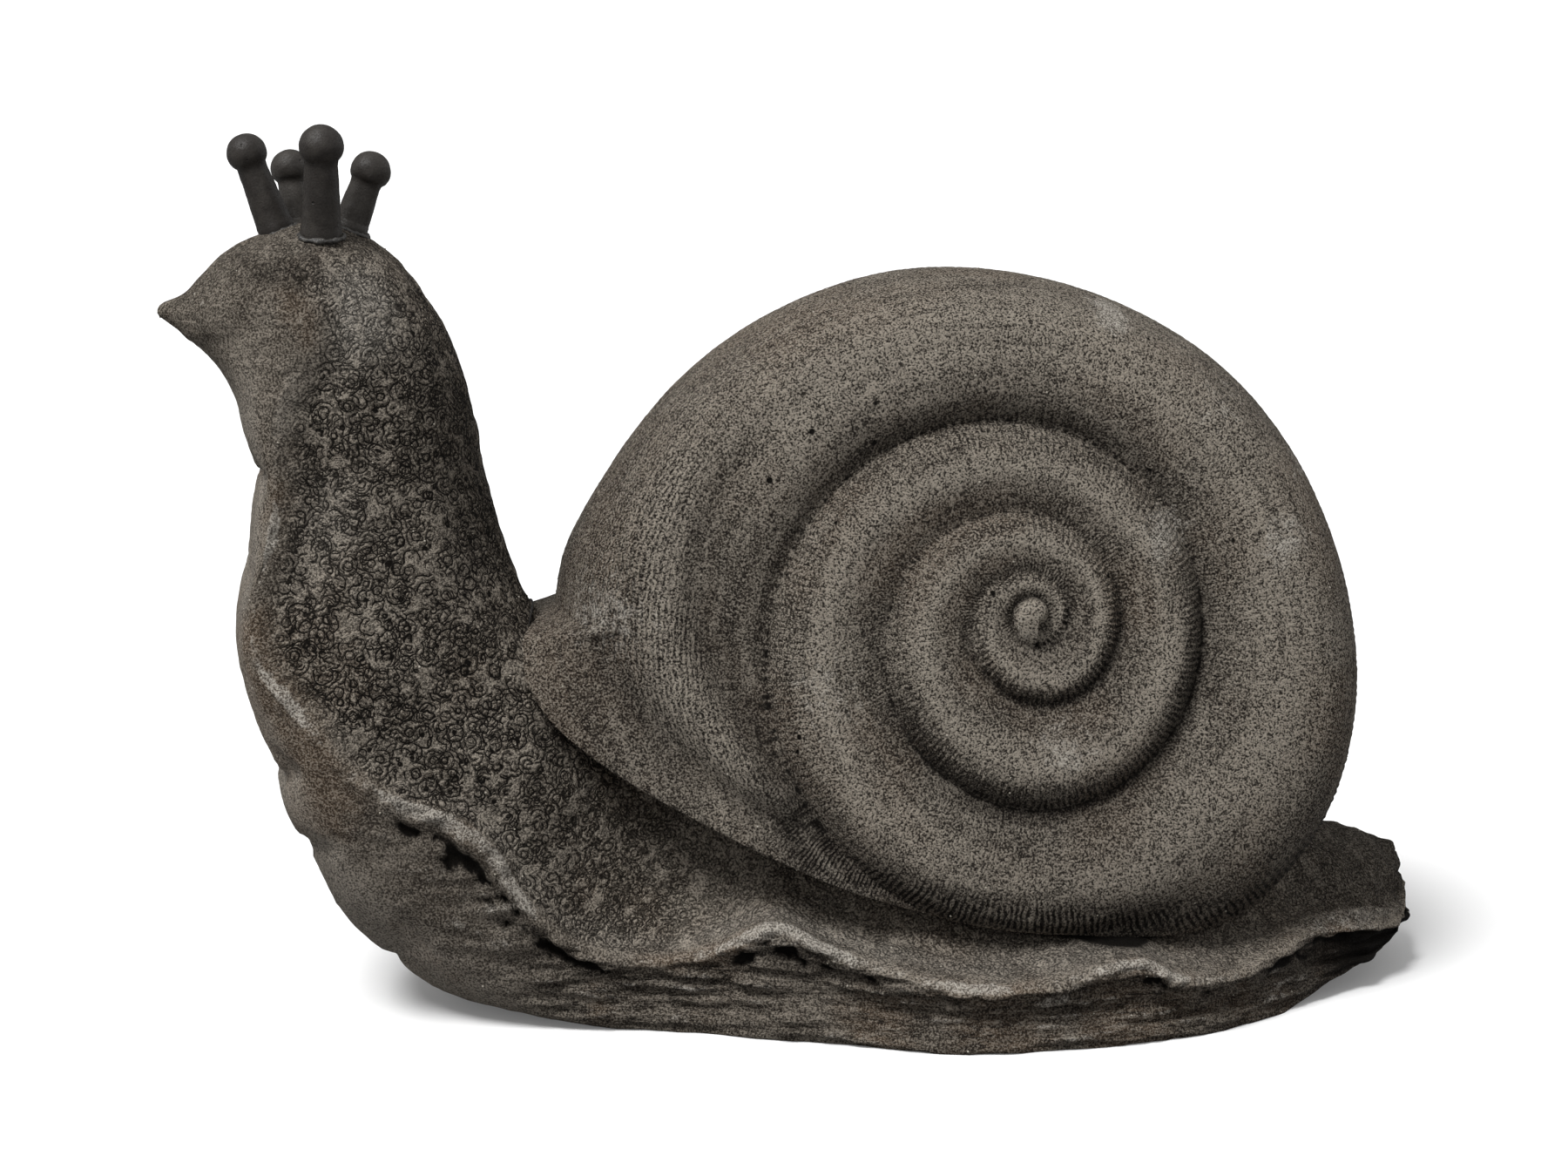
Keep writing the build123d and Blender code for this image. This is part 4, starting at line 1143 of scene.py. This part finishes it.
def makeGritTree():
    tree, given, result = shapeTree("quartzGrit", {
        "Ground": ("Object", None), "Density": ("Float", 1500.0), "Smallest": ("Float", 0.2 * mm),
        "Largest": ("Float", 0.5 * mm), "Seed": ("Int", 11), "Material": ("Material", None)})
    seed = given["Seed"]
    ground = addNode(tree, "GeometryNodeObjectInfo", {"Object": given["Ground"]}).outputs["Geometry"]
    inputs = {"Mesh": ground, "Density": given["Density"], "Seed": seed}
    points = addNode(tree, "GeometryNodeDistributePointsOnFaces", inputs).outputs["Points"]
    grain = addNode(tree, "GeometryNodeMeshIcoSphere", {"Radius": 1.0, "Subdivisions": 1}).outputs["Mesh"]
    inputs = {2: given["Smallest"], 3: given["Largest"], "Seed": seed}
    size = addNode(tree, "FunctionNodeRandomValue", inputs, data_type="FLOAT").outputs[1]
    inputs = {0: (0, 0, 0), 1: (6.28, 6.28, 6.28), "Seed": seed}
    turned = addNode(tree, "FunctionNodeRandomValue", inputs, data_type="FLOAT_VECTOR").outputs[0]
    inputs = {"Points": points, "Instance": grain, "Scale": size, "Rotation": turned}
    grains = addNode(tree, "GeometryNodeInstanceOnPoints", inputs).outputs[0]
    finishTree(tree, grains, given["Material"], result)
    return tree


gritTree = makeGritTree()
gritPieces = []
for name, ground in (("bodyGrit", body), ("shellGrit", shell)):
    grit = newPiece(name, [(0, 0, 0)], [])
    useTree(grit, gritTree, {
        "Ground": ground, "Density": gritForm["density"], "Smallest": gritForm["smallest"] * mm,
        "Largest": gritForm["largest"] * mm, "Seed": gritForm["seed"], "Material": quartz})
    gritPieces.append(grit)
    print("  grit", name, len(grit.data.polygons))
print("stage: grit scattered")


# each piece takes the place of its CAD node; the hidden ones keep theirs with a finish

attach(body, "root")
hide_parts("body")
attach(shell, "root")
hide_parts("shell")
for piece, node in feelerPieces:
    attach(piece, "root")
    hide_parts(node)
for piece, node in gluePieces:
    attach(piece, "root")
    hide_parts(node)
for piece, place in zip(gritPieces, ("body_stone", "shell_stone")):
    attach(piece, "root")
for name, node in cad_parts.items():
    finish = mortarStone if name == "mortar_bed" else steelBar
    if name == "mortar_bed" or name.endswith("_pin") or name == "neck_bar" or name.startswith("shell_dowel"):
        node.data.materials.clear()
        node.data.materials.append(finish)
print("stage: pieces in the frame")


# sweep, light and camera

studio = {
    "width": 16000, "front": -6000, "back": 4000, "bend": 3000, "bendSteps": 24,
    "paper": (0.92, 0.92, 0.92), "bounce": (0.25, 0.25, 0.25), "lift": 0.10, "paperRoughness": 0.95,
    "worldLight": 0.43, "keyFrom": (-0.42, -0.36, 0.83), "keySpread": 22.0, "keyStrength": 3.15,
    "sensor": 36.0, "lens": 72.3, "shift": -30 / 1800, "nearest": 0.01,
    "cameraPlace": (-0.1795, -0.9698, 0.3116), "cameraTilt": 80, "cameraTurn": -10,
}


def makeSweep(values):
    # paper, flat in front and bent up behind; only the camera sees it white
    back, bend, half = values["back"], values["bend"], values["width"] / 2
    profile = [(values["front"], 0.0)]
    for angle in np.linspace(0, math.pi / 2, values["bendSteps"]):
        profile.append((back + bend * math.sin(angle), bend * (1 - math.cos(angle))))
    profile.append((back + bend, 3 * bend))
    corners = [(side, y, z) for y, z in profile for side in (-half, half)]
    faces = [(2 * k, 2 * k + 1, 2 * k + 3, 2 * k + 2) for k in range(len(profile) - 1)]
    sweep = newPiece("paperSweep", corners, faces)
    paper = bpy.data.materials.new("whitePaper")
    paper.use_nodes = True
    seen = addNode(paper.node_tree, "ShaderNodeLightPath").outputs["Is Camera Ray"]
    setInputs(paper.node_tree.nodes["Principled BSDF"], {
        "Base Color": blend(seen, values["bounce"], values["paper"]), "Specular IOR Level": 0.0,
        "Roughness": values["paperRoughness"], "Emission Color": (1, 1, 1, 1),
        "Emission Strength": times(seen, values["lift"])})
    sweep.data.materials.append(paper)
    return sweep


def makeLight(values):
    # a dim white sky that the camera sees at full strength, and one soft sun
    world = bpy.data.worlds.new("studio")
    bpy.context.scene.world = world
    world.use_nodes = True
    path = addNode(world.node_tree, "ShaderNodeLightPath").outputs
    seen = highest([path[kind] for kind in ("Is Camera Ray", "Is Glossy Ray", "Is Transmission Ray")])
    strength = times(seen, 1.0 - values["worldLight"], plus=values["worldLight"])
    setInputs(world.node_tree.nodes["Background"], {"Strength": strength, "Color": (1, 1, 1, 1)})
    lamp = bpy.data.lights.new("keyLamp", "SUN")
    lamp.angle, lamp.energy = math.radians(values["keySpread"]), values["keyStrength"]
    key = bpy.data.objects.new("keyLamp", lamp)
    key.rotation_euler = Vector(values["keyFrom"]).to_track_quat("Z", "Y").to_euler()
    bpy.context.collection.objects.link(key)


def makeCamera(values):
    view = bpy.data.cameras.new("camera")
    view.sensor_width, view.lens = values["sensor"], values["lens"]
    view.shift_y, view.clip_start = values["shift"], values["nearest"]
    camera = bpy.data.objects.new("camera", view)
    camera.location = values["cameraPlace"]
    camera.rotation_euler = (math.radians(values["cameraTilt"]), 0, math.radians(values["cameraTurn"]))
    bpy.context.collection.objects.link(camera)
    bpy.context.scene.camera = camera
    bpy.context.scene.view_settings.view_transform = "Standard"


sweep = makeSweep(studio)
makeLight(studio)
makeCamera(studio)
print("stage: studio ready")
